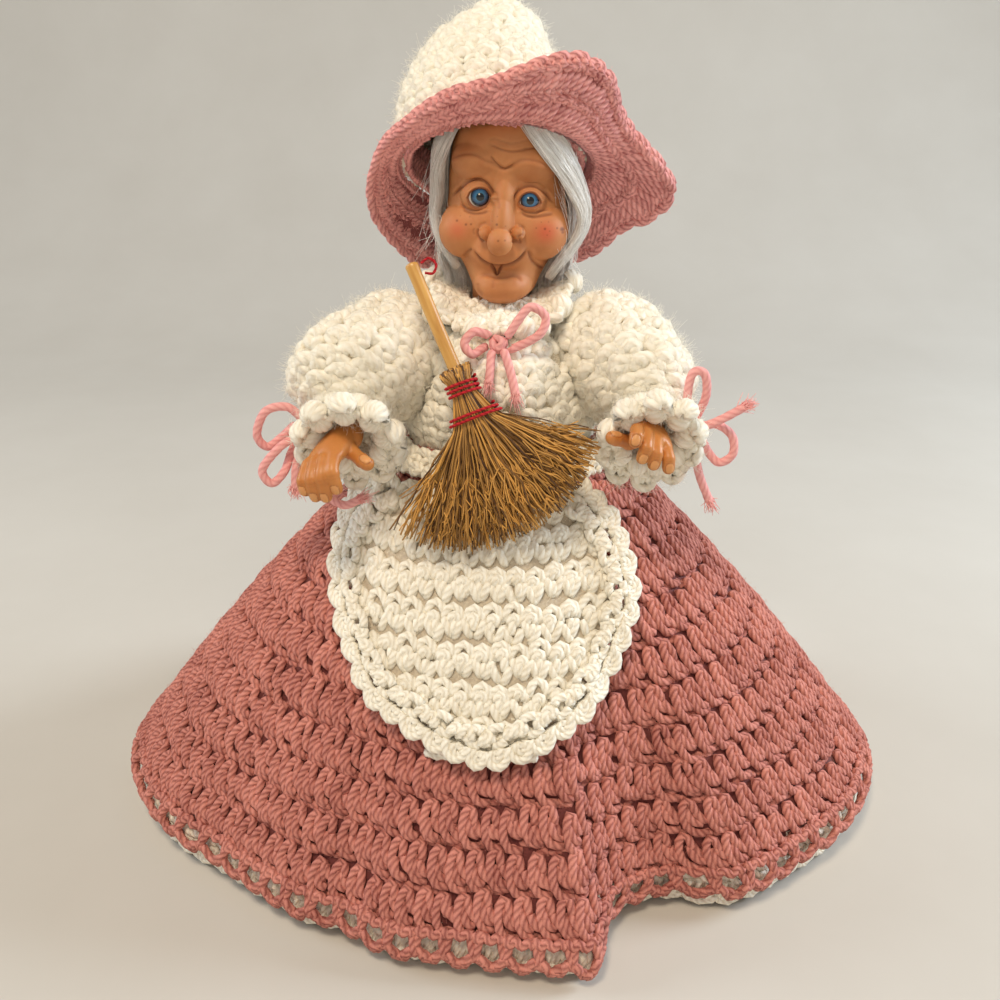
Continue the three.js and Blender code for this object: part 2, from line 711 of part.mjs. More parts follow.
// Body swept along points with a radius at each, its ends flat; alongs sets the way its rings face
function limb(points, radii, sides = 8, alongs = null) {
  let across = vec(0, 0, 1);
  const rings = points.map((point, i) => {
    const before = points[Math.max(i - 1, 0)];
    const after = points[Math.min(i + 1, points.length - 1)];
    const along = alongs ? alongs[i] : vec().subVectors(after, before).normalize();
    across = across.clone().projectOnPlane(along).normalize();
    const side = vec().crossVectors(along, across);
    return Array.from({ length: sides }, (_, k) => {
      const turn = (2 * Math.PI * k) / sides;
      return point.clone()
        .addScaledVector(across, radii[i] * Math.cos(turn))
        .addScaledVector(side, radii[i] * Math.sin(turn));
    });
  });
  return bodyOfRings(rings);
}

const between = (from, to, share) => vec().lerpVectors(from, to, share);

// Arms
const wristAt = (side) => vec(side * wristX, wristY, wristZ);
const below = (pitch) => vec(0, -Math.cos(radians(pitch)), -Math.sin(radians(pitch)));
const onForearm = (side, distance) => wristAt(side).addScaledVector(below(forearmPitch), distance);

function armWire(side, extra = 0) {
  const shoulder = shoulderAt(side);
  const inward = vec().subVectors(shoulder, wristAt(side)).normalize();
  const start = shoulder.addScaledVector(inward, puffRadius / 2 + extra);
  const end = onForearm(side, forearmStart + wireInHand + extra);
  const radius = chenilleRadius + extra;
  return limb([start, wristAt(side), end], [radius, radius, radius], 10);
}

function sleeve(side, reach) {
  const bulge = (reach - leftSleeveReach) / 2;
  const profile = [
    [0, 18], [0.2, 18], [0.4, 17.6], [0.6, 16.4], [0.8, 13.6], [0.93, 10.8], [1, gatherRadius],
  ];
  const path = new THREE.QuadraticBezierCurve3(
    shoulderAt(side),
    wristAt(side).addScaledVector(below(cuffPitch), -puffRadius / 2),
    wristAt(side),
  );
  const centres = profile.map(([share]) => {
    return path.getPoint(share).add(vec(side * (sleeveSwing + bulge) * Math.sin(Math.PI * share), 0, 0));
  });
  const radii = profile.map(([share, radius]) => radius + bulge * Math.sin(Math.PI * share));
  const chord = vec().subVectors(wristAt(side), shoulderAt(side)).normalize();
  const alongs = profile.map(([share]) => between(chord, below(cuffPitch), share).normalize());
  const puff = join(ball(shoulderAt(side), puffRadius, 18, 12), limb(centres, radii, 18, alongs));
  return cut(puff, armWire(side, clearance));
}

function cuffRing(side, share, wall, halfWidth, halfHeight) {
  const axis = below(cuffPitch);
  const start = clearance + 0.1;
  const centre = wristAt(side).addScaledVector(axis, start + (cuffLength - start) * share);
  const up = vec(0, axis.z, -axis.y);
  const flare = valueAt([[0, 0.08], [0.3, 0], [1, 1]], share);
  return ringAround(32, (angle) => {
    const lobe = cuffLobeDepth * Math.cos(radians(angle * cuffLobes)) * flare;
    const wide = THREE.MathUtils.lerp(gatherRadius, halfWidth, flare) - wall + lobe;
    const tall = THREE.MathUtils.lerp(gatherRadius, halfHeight, flare) - wall + lobe;
    return centre.clone()
      .addScaledVector(vec(1, 0, 0), wide * Math.sin(radians(angle)))
      .addScaledVector(up, tall * Math.cos(radians(angle)));
  });
}

function cuff(side, halfWidth, halfHeight) {
  const shares = [0, 0.3, 1];
  const surface = (wall) => shares.map((share) => cuffRing(side, share, wall, halfWidth, halfHeight));
  return shellOfRings(surface(0), surface(cuffWall));
}

const points = (rows) => rows.map(([x, y, height]) => vec(x, y, waistHeight + height));

function digit(joints, radius) {
  const [first, bend, tip] = points(joints);
  const last = between(bend, tip, 1 - radius / bend.distanceTo(tip));
  return limb([first, between(first, bend, 0.75), last, tip], [radius, radius, radius, radius * 0.45], 7);
}

function hand(side, shape) {
  const stem = rod(onForearm(side, forearmStart), onForearm(side, forearmEnd), forearmRadius, 10);
  const knuckles = points(shape.fingers.map((joints) => joints[0]));
  const row = vec().subVectors(knuckles[3], knuckles[0]);
  const front = between(knuckles[0], knuckles[3], 0.5);
  const back = onForearm(side, forearmEnd - 3);
  const along = vec().subVectors(front, back).normalize();
  const across = row.clone().projectOnPlane(along).normalize();
  const thick = vec().crossVectors(along, across);
  const half = row.length() / 2 + fingerRadius;
  const sections = [
    [0, 4.2, 4.2], [0.3, 5.2, 4.4], [0.65, half * 0.92, 4], [0.9, half, 2.9], [1, half - 1, 1.9],
  ];
  const palmRings = sections.map(([share, wide, deep]) =>
    Array.from({ length: 10 }, (_, k) => {
      const turn = (2 * Math.PI * k) / 10;
      return between(back, front, share)
        .addScaledVector(across, wide * Math.cos(turn))
        .addScaledVector(thick, deep * Math.sin(turn));
    }),
  );
  const digits = [
    ...shape.fingers.map((joints) => digit(joints, fingerRadius)),
    digit(shape.thumb, fingerRadius * 1.1),
  ];
  const [thumbRoot] = points(shape.thumb);
  const web = limb([between(back, front, 0.35), thumbRoot], [fingerRadius * 1.5, fingerRadius * 1.2]);
  return cut(join(stem, bodyOfRings(palmRings), web, ...digits), armWire(side, clearance));
}

place("left_arm_wire", armWire(1), chenille);
place("right_arm_wire", armWire(-1), chenille);
place("left_sleeve", sleeve(1, leftSleeveReach), creamYarn);
place("right_sleeve", sleeve(-1, rightSleeveReach), creamYarn);
place("left_cuff", cuff(1, leftCuffHalfWidth, leftCuffHalfHeight), creamYarn);
place("right_cuff", cuff(-1, rightCuffHalfWidth, rightCuffHalfHeight), creamYarn);
place("left_hand", hand(1, leftHand), handVinyl);
place("right_hand", hand(-1, rightHand), handVinyl);

// Bows, with heights from the waist: each loop and each tail is a stretch of yarn that leaves its knot
// squarely. The first point of a route, and the last one of a loop, only give the way that it leaves in.
const bows = {
  neck_bow: {
    knot: [-0.5, -34.2, 36.6],
    loop_left: [[2.5, -34.6, 39.6], [5.6, -34.4, 44], [9.4, -33.4, 48], [14, -32.6, 44.8],
      [12.2, -34, 39.6], [3.5, -34.6, 35.6]],
    loop_right: [[-3.4, -34.4, 39], [-8.2, -36, 40.8], [-11, -37, 37.4], [-8.6, -37.4, 34.2],
      [-4.5, -34.2, 35.6]],
    tail_left: [[1.4, -37.5, 34.4], [3.4, -40, 28.6], [4.8, -42.4, 22.6]],
    tail_right: [[-2.4, -37.2, 34.2], [-3, -40, 30.2], [-3.4, -41.6, 26]],
  },
  left_bow: {
    knot: [60.6, -36, 10],
    loop_upper: [[59.4, -37.6, 13.6], [58.4, -39, 21], [59, -39.6, 27.8], [61.2, -39.6, 29.6],
      [63.6, -39.4, 27.6], [64.4, -38, 21], [62.6, -35.6, 14]],
    loop_lower: [[64.3, -37, 11], [69, -38, 11.6], [73.6, -38.5, 8], [74.3, -38.5, 2],
      [70.3, -38, -1], [66.6, -37, 2.4], [64, -36, 7.2]],
    tail_upper: [[62.2, -39.8, 11], [68.8, -42, 14.6], [75.9, -41.5, 18.5]],
    tail_lower: [[61.2, -38.8, 6.9], [63.6, -41, -4], [67.7, -40.5, -13.4]],
  },
  right_bow: {
    knot: [-61.4, -35.8, 8.4],
    loop_upper: [[-62.7, -36.2, 12.5], [-67, -37.6, 17.4], [-73.6, -38.6, 16.2], [-77, -38.4, 8.6],
      [-74.4, -37, 4], [-69.6, -35.6, 7], [-65.3, -35.4, 10.2]],
    loop_lower: [[-65, -38.1, 7.6], [-70, -41.4, 4.8], [-75.4, -42.2, -2], [-73, -41.6, -6.8],
      [-69, -40, -3.4], [-67.2, -36.6, 1.4], [-64.7, -34.3, 5.8]],
    tail_outer: [[-62.9, -38.3, 4.9], [-64.9, -41, -1.6], [-65.6, -41.2, -8.4]],
    tail_inner: [[-60.6, -34.6, 4.3], [-61.4, -34.2, -3], [-57.5, -36, -11], [-51, -37.5, -16.2],
      [-45, -38, -14.4]],
  },
};
const longSteps = 8;
const shortSteps = 4;

function fromKnot(knot, towards) {
  const way = vec().subVectors(towards, knot).normalize();
  return [knotRadius + clearance + 0.2, knotRadius + yarnDiameter / 2 + 0.4].map((distance) =>
    knot.clone().addScaledVector(way, distance),
  );
}

function yarnPath(knot, route, closes) {
  const rest = route.slice(1, closes ? -1 : route.length);
  const end = closes ? fromKnot(knot, route[route.length - 1]).reverse() : [];
  return [...fromKnot(knot, route[0]), ...rest, ...end];
}

for (const [bow, { knot, ...routes }] of Object.entries(bows)) {
  const [middle] = points([knot]);
  place(`${bow}_knot`, ball(middle, knotRadius, 10, 7), pinkYarn);
  for (const [stretch, route] of Object.entries(routes)) {
    const path = yarnPath(middle, points(route), stretch.startsWith("loop"));
    const steps = route.length > 3 ? longSteps : shortSteps;
    place(`${bow}_${stretch}`, tubeAlong(path, yarnDiameter, steps), pinkYarn);
  }
}

// Broom
const broom = new THREE.Group();
const swing = radians(broomSwing);
const tilt = radians(broomTilt);
const acrossFan = vec(Math.cos(swing), 0, Math.sin(swing));
const upHandle = vec(-Math.sin(swing) * Math.cos(tilt), Math.sin(tilt), Math.cos(swing) * Math.cos(tilt));
const intoDoll = vec().crossVectors(upHandle, acrossFan);
broom.quaternion.setFromRotationMatrix(new THREE.Matrix4().makeBasis(acrossFan, intoDoll, upHandle));
broom.position.copy(broomPlace);
doll.add(broom);

function handle(extra = 0) {
  return rod(vec(0, 0, handleSeat - extra), vec(0, 0, handleTop), handleRadius + extra, 14);
}

place("broom_handle", handle(), paleWood, broom);

// Place on a square from -1 to 1 each way, taken to an ellipse
const onEllipse = (u, v, halfWidth, halfDepth, height) =>
  vec(halfWidth * u * Math.sqrt(1 - (v * v) / 2), halfDepth * v * Math.sqrt(1 - (u * u) / 2), height);

// Twig head: a bound neck whose lower face is a grid of triangles, each drawn out into one strand
function bristles() {
  const shareAt = (k, count) => (2 * k) / count - 1;
  const edge = [];
  for (let i = 0; i < strandsAcross; i++) edge.push([i, 0]);
  for (let k = 0; k < strandsDeep; k++) edge.push([strandsAcross, k]);
  for (let i = strandsAcross; i > 0; i--) edge.push([i, strandsDeep]);
  for (let k = strandsDeep; k > 0; k--) edge.push([0, k]);
  const vertices = [];
  const triangles = [];
  const grid = (i, k) => i * (strandsDeep + 1) + k;
  const [rootHeight, rootWidth, rootDepth] = twigSections[0];
  for (let i = 0; i <= strandsAcross; i++) {
    for (let k = 0; k <= strandsDeep; k++) {
      const [u, v] = [shareAt(i, strandsAcross), shareAt(k, strandsDeep)];
      vertices.push(onEllipse(u, v, rootWidth, rootDepth, rootHeight));
    }
  }
  let below = edge.map(([i, k]) => grid(i, k));
  for (const [height, halfWidth, halfDepth] of twigSections.slice(1)) {
    const ring = edge.map(([i, k]) => {
      const [u, v] = [shareAt(i, strandsAcross), shareAt(k, strandsDeep)];
      vertices.push(onEllipse(u, v, halfWidth, halfDepth, height));
      return vertices.length - 1;
    });
    ring.forEach((corner, j) => {
      const next = (j + 1) % ring.length;
      triangles.push([below[j], below[next], ring[next]], [below[j], ring[next], corner]);
    });
    below = ring;
  }
  vertices.push(vec(0, 0, tuftTop));
  const crown = vertices.length - 1;
  below.forEach((corner, j) => triangles.push([corner, below[(j + 1) % below.length], crown]));
  for (let i = 0; i < strandsAcross; i++) {
    for (let k = 0; k < strandsDeep; k++) {
      const [a, b, c, d] = [grid(i, k), grid(i + 1, k), grid(i + 1, k + 1), grid(i, k + 1)];
      strand(vertices, triangles, [a, c, b]);
      strand(vertices, triangles, [a, d, c]);
    }
  }
  return geometryOf(vertices, triangles);
}

function strand(vertices, triangles, root) {
  const middle = root.reduce((sum, corner) => sum.add(vertices[corner]), vec(0, 0, 0)).divideScalar(3);
  const [, rootWidth, rootDepth] = twigSections[0];
  const across = middle.x / rootWidth;
  const angle = radians(fanHalfAngle * across);
  const length = THREE.MathUtils.lerp(fanLengthLong, fanLengthShort, (across + 1) / 2);
  const depth = (fanHalfDepth * middle.y) / rootDepth;
  const tip = vec(length * Math.sin(angle), depth, fanApex - length * Math.cos(angle));
  const ends = root.map((corner) => {
    vertices.push(tip.clone().addScaledVector(vertices[corner].clone().sub(middle), strandTaper));
    return vertices.length - 1;
  });
  root.forEach((corner, j) => {
    const next = (j + 1) % 3;
    triangles.push([corner, root[next], ends[next]], [corner, ends[next], ends[j]]);
  });
  triangles.push(ends);
}

place("broom_bristles", cut(bristles(), handle(clearance)), twigs, broom);

// Thread wound round the twigs, as one tube
function winding(middleHeight, turns) {
  const stepsPerTurn = 24;
  const steps = stepsPerTurn * turns;
  const centres = Array.from({ length: steps + 1 }, (_, i) => {
    const height = middleHeight + threadPitch * turns * (0.5 - i / steps);
    const off = threadDiameter / 2 + clearance + windingEase;
    const [wide, deep] = [1, 2].map((column) => valueAt(twigSections, height, column) + off);
    const turn = (2 * Math.PI * i) / stepsPerTurn;
    return vec(wide * Math.cos(turn), deep * Math.sin(turn), height);
  });
  let least = Infinity;
  for (let i = 0; i < steps; i++) {
    for (let k = i + stepsPerTurn / 2; k <= steps; k++) {
      least = Math.min(least, centres[i].distanceTo(centres[k]));
    }
  }
  return [limb(centres, centres.map(() => threadDiameter / 2), 6), least - threadDiameter];
}

const [upperBinding, upperGap] = winding(upperWindingHeight, upperTurns);
const [lowerBinding, lowerGap] = winding(lowerWindingHeight, lowerTurns);
console.log("least gap between turns", upperGap.toFixed(2), lowerGap.toFixed(2));
place("broom_binding_upper", upperBinding, redThread, broom);
place("broom_binding_lower", lowerBinding, redThread, broom);

const hangRoute = [[2.9, 0, 39.8], [5.6, 0.6, 40.3], [7, 0.8, 37.8], [5.2, 0.5, 35.6], [2.9, 0, 36.6]];
const hangPoints = hangRoute.map((row) => vec(...row));
place("broom_hang_loop", tubeAlong(hangPoints, hangThreadDiameter, 8, 6), redThread, broom);

export default doll;
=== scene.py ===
import math

import bpy
import numpy as np
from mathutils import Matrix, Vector


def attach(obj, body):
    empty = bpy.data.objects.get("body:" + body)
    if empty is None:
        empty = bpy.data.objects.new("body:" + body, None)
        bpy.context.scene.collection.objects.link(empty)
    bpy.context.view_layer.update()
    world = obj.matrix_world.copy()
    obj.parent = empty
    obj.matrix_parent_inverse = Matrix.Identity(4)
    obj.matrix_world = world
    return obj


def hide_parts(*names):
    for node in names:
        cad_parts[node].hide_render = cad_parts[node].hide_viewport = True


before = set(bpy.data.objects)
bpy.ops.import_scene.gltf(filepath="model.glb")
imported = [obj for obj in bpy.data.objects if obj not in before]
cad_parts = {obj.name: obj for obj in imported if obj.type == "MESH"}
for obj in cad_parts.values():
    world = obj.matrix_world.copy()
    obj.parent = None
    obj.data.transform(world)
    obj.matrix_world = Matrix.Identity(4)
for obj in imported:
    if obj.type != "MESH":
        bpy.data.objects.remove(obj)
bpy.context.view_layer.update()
mm = 0.001  # the numbers below are millimetres, the scene is in metres
rng = np.random.default_rng(7)


# Small maths on arrays of points
def unit(a):
    return a / np.maximum(np.linalg.norm(a, axis=-1, keepdims=True), 1e-9)


def smooth(x, low, high):
    t = np.clip((x - low) / (high - low), 0, 1)
    return t * t * (3 - 2 * t)


def valueAt(rows, key, column=1, closed=False):
    table = np.array(rows, float)
    key = np.asarray(key, float)
    if closed:  # rows by angle, which close on themselves
        key = key % 360
        turn = np.zeros(table.shape[1])
        turn[0] = 360
        table = np.vstack([table[-2:] - turn, table, table[:2] + turn])
    x, y = table[:, 0], table[:, column]
    i = np.clip(np.searchsorted(x, key, side="right") - 1, 0, len(x) - 2)
    before, after = np.maximum(i - 1, 0), np.minimum(i + 2, len(x) - 1)
    span = x[i + 1] - x[i]
    s = np.clip((key - x[i]) / span, 0, 1)
    startSlope = (y[i + 1] - y[before]) / (x[i + 1] - x[before]) * span
    endSlope = (y[after] - y[i]) / (x[after] - x[i]) * span
    return (
        (2 * s**3 - 3 * s**2 + 1) * y[i] + (s**3 - 2 * s**2 + s) * startSlope
        + (3 * s**2 - 2 * s**3) * y[i + 1] + (s**3 - s**2) * endSlope
    )


def ringPoint(degrees, radius, height):
    turn = np.radians(degrees)
    return np.stack(np.broadcast_arrays(radius * np.sin(turn), -radius * np.cos(turn), height), -1)


def spline(points, count):  # smooth curve through rows of points, evenly stepped in each span
    p = np.array(points, float)
    p = np.concatenate([2 * p[:1] - p[1:2], p, 2 * p[-1:] - p[-2:-1]])
    t = np.linspace(0, len(p) - 3, count)
    i = np.minimum(t.astype(int), len(p) - 4)
    s = (t - i).reshape(-1, *[1] * (p.ndim - 1))
    a, b, c, d = p[i], p[i + 1], p[i + 2], p[i + 3]
    return 0.5 * (2 * b + (c - a) * s + (2 * a - 5 * b + 4 * c - d) * s**2 + (3 * b - a - 3 * c + d) * s**3)


def evenly(points, step):  # the same line with points a step apart
    gaps = np.linalg.norm(np.diff(points, axis=0), axis=1)
    along = np.concatenate([[0], np.cumsum(gaps)])
    stations = np.linspace(0, along[-1], max(int(round(along[-1] / step)), 2) + 1)
    return np.stack([np.interp(stations, along, points[:, k]) for k in range(points.shape[1])], -1)


def lengthOf(points):
    return float(np.linalg.norm(np.diff(points, axis=0), axis=1).sum())


def outsideBall(points, centre, radius):  # points inside the ball are moved out to its surface
    off = points - centre
    away = np.linalg.norm(off, axis=-1, keepdims=True)
    return np.where(away < radius, centre + off / away * radius, points)


def addValues(mesh, label, values):
    mesh.attributes.new(label, "FLOAT", "POINT").data.foreach_set("value", np.asarray(values, np.float32))


# Meshes from arrays: points in millimetres, quads and triangles, a yarn map (along, around) and a tone
def meshPiece(name, points, quads, triangles=(), strandMap=None, tone=None, material=None):
    quads = np.asarray(quads, int).reshape(-1, 4)
    triangles = np.asarray(triangles, int).reshape(-1, 3)
    mesh = bpy.data.meshes.new(name)
    mesh.vertices.add(len(points))
    mesh.vertices.foreach_set("co", (np.asarray(points) * mm).astype(np.float32).ravel())
    corners = np.concatenate([quads.ravel(), triangles.ravel()])
    mesh.loops.add(len(corners))
    mesh.loops.foreach_set("vertex_index", corners.astype(np.int32))
    sizes = np.concatenate([np.full(len(quads), 4), np.full(len(triangles), 3)])
    starts = np.concatenate([[0], np.cumsum(sizes)[:-1]])
    mesh.polygons.add(len(sizes))
    mesh.polygons.foreach_set("loop_start", starts.astype(np.int32))
    mesh.polygons.foreach_set("loop_total", sizes.astype(np.int32))
    mesh.polygons.foreach_set("use_smooth", np.ones(len(sizes), bool))
    if strandMap is not None:
        mesh.uv_layers.new(name="strand").data.foreach_set("uv", np.asarray(strandMap, np.float32).ravel())
    if tone is not None:
        addValues(mesh, "tone", tone)
    mesh.update(calc_edges=True)
    mesh.validate()
    piece = bpy.data.objects.new(name, mesh)
    bpy.context.scene.collection.objects.link(piece)
    if material is not None:
        mesh.materials.append(material)
    return piece


# Strands: lines is (strand, station, xyz), up the cloth's outward direction at each station
def strandArrays(lines, up, radius, sides, flat=1.0, plies=0, twist=0.0, lobe=0.0):
    count, stations = lines.shape[:2]
    along = unit(np.gradient(lines, axis=1))
    side = unit(np.cross(along, up))
    lift = unit(np.cross(side, along))
    run = np.linalg.norm(np.diff(lines, axis=1), axis=2)
    run = np.concatenate([np.zeros((count, 1)), np.cumsum(run, axis=1)], axis=1)
    turn = 2 * np.pi * np.arange(sides) / sides
    radius = np.broadcast_to(np.asarray(radius, float), (count, stations))[..., None]
    if plies:
        wave = np.cos(plies * turn + twist * run[..., None])
        radius = radius * (1 - lobe * (0.5 - 0.5 * wave))
    ring = (
        lines[:, :, None]
        + (radius * np.cos(turn))[..., None] * side[:, :, None]
        + (radius * flat * np.sin(turn))[..., None] * lift[:, :, None]
    )
    points = ring.reshape(-1, 3)
    base = (np.arange(count)[:, None, None] * stations + np.arange(stations - 1)[:, None]) * sides
    j = np.arange(sides)
    nextJ = (j + 1) % sides
    quads = np.stack([base + j, base + nextJ, base + sides + nextJ, base + sides + j], -1).reshape(-1, 4)
    low = np.broadcast_to(run[:, :-1, None], (count, stations - 1, sides))
    high = np.broadcast_to(run[:, 1:, None], (count, stations - 1, sides))
    left = np.broadcast_to(j / sides, low.shape)
    right = left + 1 / sides
    quadMap = np.stack([low, left, low, right, high, right, high, left], -1).reshape(-1, 4, 2)
    fan = np.stack([np.zeros(sides - 2, int), np.arange(1, sides - 1), np.arange(2, sides)], -1)
    firstPoint = (np.arange(count) * stations * sides)[:, None, None]
    caps = [firstPoint + fan[:, ::-1], firstPoint + (stations - 1) * sides + fan]
    triangles = np.concatenate([cap.reshape(-1, 3) for cap in caps])
    return points, quads, triangles, quadMap, np.zeros((len(triangles), 3, 2))


def fibreArrays(lines, up, radius, sides):  # strands too fine to show plies, mapped to one spot of the yarn
    points, quads, triangles, *maps = strandArrays(lines, up, radius, sides)
    return points, quads, triangles, *[strandMap * 0 + (0, 0.0625) for strandMap in maps]


def gather(parts):  # several sets of points, quads, triangles and maps as one
    starts = np.cumsum([0] + [len(part[0]) for part in parts[:-1]])
    moved = [(p, q + start, t + start, *maps) for start, (p, q, t, *maps) in zip(starts, parts)]
    return [np.concatenate(arrays) for arrays in zip(*moved)]


def strandPiece(name, parts, tones, material):  # tones: one for all points, or one for each
    points, quads, triangles, quadMap, capMap = gather(parts)
    strandMap = np.concatenate([quadMap.reshape(-1, 2), capMap.reshape(-1, 2)])
    return meshPiece(name, points, quads, triangles, strandMap, np.broadcast_to(tones, len(points)), material)


def tubeFaces(rows, columns):  # quads round a tube of rings, and fans that close its ends
    i, j = np.meshgrid(np.arange(rows - 1), np.arange(columns), indexing="ij")
    nextJ = (j + 1) % columns
    quads = np.stack([i * columns + j, i * columns + nextJ, (i + 1) * columns + nextJ, (i + 1) * columns + j],
                     -1)
    fan = np.array([[0, k + 1, k] for k in range(1, columns - 1)])
    return quads.reshape(-1, 4), np.concatenate([fan, fan[:, ::-1] + (rows - 1) * columns])


# Closed sheet between an outer and an inner grid of points (rows, columns, xyz)
def sheetPiece(name, outer, inner, around, material):
    rows, columns = outer.shape[:2]
    points = np.concatenate([outer.reshape(-1, 3), inner.reshape(-1, 3)])
    i, j = np.meshgrid(np.arange(rows - 1), np.arange(columns if around else columns - 1), indexing="ij")
    nextJ = (j + 1) % columns
    a, b, c, d = i * columns + j, i * columns + nextJ, (i + 1) * columns + nextJ, (i + 1) * columns + j
    back = rows * columns
    quads = [np.stack([a, d, c, b], -1).reshape(-1, 4), np.stack([a, b, c, d], -1).reshape(-1, 4) + back]
    j, nextJ = j[0], nextJ[0]
    quads.append(np.stack([j, nextJ, nextJ + back, j + back], -1))
    end = (rows - 1) * columns
    quads.append(np.stack([nextJ + end, j + end, j + end + back, nextJ + end + back], -1))
    if not around:
        i = np.arange(rows - 1)
        for k, flip in ((0, False), (columns - 1, True)):
            edge = np.stack([i * columns + k, i * columns + k + back, (i + 1) * columns + k + back,
                             (i + 1) * columns + k], -1)
            quads.append(edge[:, ::-1] if flip else edge)
    return meshPiece(name, points, np.concatenate(quads), material=material)


# Cloth as a surface: place(u, v) gives millimetre points, u along a row and v from row to row
def clothFrame(place, u, v, sign=-1):  # outward where u turns to the left of the doll and v runs down
    du, dv = 0.002, 0.004
    p = place(u, v)
    normal = unit(np.cross(place(u + du, v) - place(u - du, v), place(u, v + dv) - place(u, v - dv)))
    return p, normal * sign


def clothGrid(place, columns, down, offset, sign=-1):  # down: first, last and number of v
    u, v = np.meshgrid(np.arange(columns) / columns, np.linspace(*down))
    p, normal = clothFrame(place, u, v, sign)
    return p + normal * offset


# The cloth's darker colour is painted shade, seen through the gaps between stitches
def clothPiece(name, place, columns, down, outer, inner, material, sign=-1):  # thin cloth under the stitches
    grids = [clothGrid(place, columns, down, offset, sign) for offset in (outer, inner)]
    return sheetPiece(name, *grids, True, material)


def rowLength(place, v):
    return lengthOf(place(np.linspace(0, 1, 400), np.full(400, v)))


# Stitches of a cell pattern over rows: (start, end, count, shift) in v, with u from 0 to 1 along the row
def stitchLines(place, rows, pattern, depth=0.0, sign=-1, stations=7, jitter=0.06, keep=None, span=(0, 1),
                bulge=0.0):
    parts = []
    for start, end, count, shift in rows:
        cells = np.arange(count)
        for strand in pattern:
            shape = spline(strand, stations)
            wobble = rng.normal(0, jitter, (count, 1, 2))
            across = (cells[:, None] + shape[None, :, 0] + wobble[..., 0] + shift) / count
            u = span[0] + (span[1] - span[0]) * across
            v = start + (end - start) * (shape[None, :, 1] + wobble[..., 1])
            p, normal = clothFrame(place, u, v, sign)
            ridge = np.sqrt(np.sin(np.pi * np.clip(shape[None, :, 1], 0, 1)).clip(0, 1))
            swell = shape[None, :, 2] + rng.normal(0, 0.12, (count, 1)) - bulge * (1 - ridge)
            line = p + normal * (swell - depth)[..., None]
            if keep is not None:
                chosen = keep(line[:, stations // 2])
                line, normal = line[chosen], normal[chosen]
            if len(line):
                parts.append((line, normal))
    return parts


stitchYarn = {"sides": 7, "flat": 0.92, "fibreRadius": 0.035, "fibreSides": 3, "fibreStations": 5,
              "fibreTone": 1.2}


def stitchPiece(name, parts, radius, material, fuzz=(0, 0)):
    sides = stitchYarn["sides"]
    arrays = [strandArrays(line, normal, radius, sides, stitchYarn["flat"]) for line, normal in parts]
    tones = [np.repeat(rng.normal(0.5, 0.16, len(line)), line.shape[1] * sides) for line, normal in parts]
    count, reach = fuzz
    if count:  # fine loose fibres that stand off the yarn
        starts = np.concatenate([line.reshape(-1, 3) for line, normal in parts])
        ups = np.concatenate([np.broadcast_to(normal, line.shape).reshape(-1, 3) for line, normal in parts])
        picked = rng.integers(0, len(starts), count)
        way = unit(ups[picked] * 0.55 + rng.normal(0, 0.55, (count, 3)))
        curl = rng.normal(0, 1.1, (count, 3))
        length = reach * rng.uniform(0.35, 1.0, count)[:, None, None]
        t = np.linspace(0, 1, stitchYarn["fibreStations"])[None, :, None]
        start = starts[picked] + ups[picked] * radius * 0.75
        fibres = start[:, None] + length * (way[:, None] * t + curl[:, None] * t**2 * 0.6)
        arrays.append(fibreArrays(fibres, np.broadcast_to(ups[picked][:, None], fibres.shape),
                                  stitchYarn["fibreRadius"], stitchYarn["fibreSides"]))
        tones.append(np.full(len(arrays[-1][0]), stitchYarn["fibreTone"]))
    return strandPiece(name, arrays, np.concatenate(tones), material)


# A puff of several yarns that bulge side by side, as (lines, outward directions)
def puffLines(centre, outward, up, radius, yarns=6):
    up = unit(up - outward * (up @ outward) + rng.normal(0, 0.25, 3))
    up = unit(up - outward * (up @ outward))
    side = np.cross(outward, up)
    turn = np.radians(np.linspace(-72, 72, yarns) + rng.normal(0, 5, yarns))[:, None, None]
    tilt = np.radians(np.linspace(-84, 84, 9))[None, :, None]
    ways = np.cos(tilt) * (np.cos(turn) * outward + np.sin(turn) * side) + np.sin(tilt) * up
    return centre + ways * radius, ways


def replace(piece, body, slot, *nodes):
    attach(piece, body)
    if nodes:
        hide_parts(*nodes)


print("tools ready")

# Camera, where the photograph was taken from
cameraView = {"place": (0, -340, 250), "pitch": 22, "focal": 36, "sensor": 36}
cameraData = bpy.data.cameras.new("camera")
cameraData.lens = cameraView["focal"]
cameraData.sensor_width = cameraView["sensor"]
cameraData.clip_start = 0.01
camera = bpy.data.objects.new("camera", cameraData)
camera.location = [x * mm for x in cameraView["place"]]
camera.rotation_euler = (math.radians(90 - cameraView["pitch"]), 0, 0)
bpy.context.scene.collection.objects.link(camera)
bpy.context.scene.camera = camera


# Node helpers
def nodeOf(tree, kind, inputs=(), **settings):
    node = tree.nodes.new(kind)
    for key, value in settings.items():
        setattr(node, key, value)
    for key, value in dict(inputs).items():
        if isinstance(value, bpy.types.NodeSocket):
            tree.links.new(value, node.inputs[key])
        else:
            node.inputs[key].default_value = value
    return node


def maths(tree, operation, a, b=0.0, clamp=False):
    return nodeOf(tree, "ShaderNodeMath", {0: a, 1: b}, operation=operation, use_clamp=clamp).outputs[0]


def mixColour(tree, share, a, b):
    return nodeOf(tree, "ShaderNodeMix", {0: share, 6: a, 7: b}, data_type="RGBA").outputs[2]


def noiseOf(tree, vector, scale, detail=2.0, roughness=0.5, distortion=0.0):
    return nodeOf(tree, "ShaderNodeTexNoise", {"Vector": vector, "Scale": scale, "Detail": detail,
                                               "Roughness": roughness, "Distortion": distortion}).outputs[0]


def valueOf(tree, label):
    return nodeOf(tree, "ShaderNodeAttribute", attribute_name=label).outputs["Fac"]


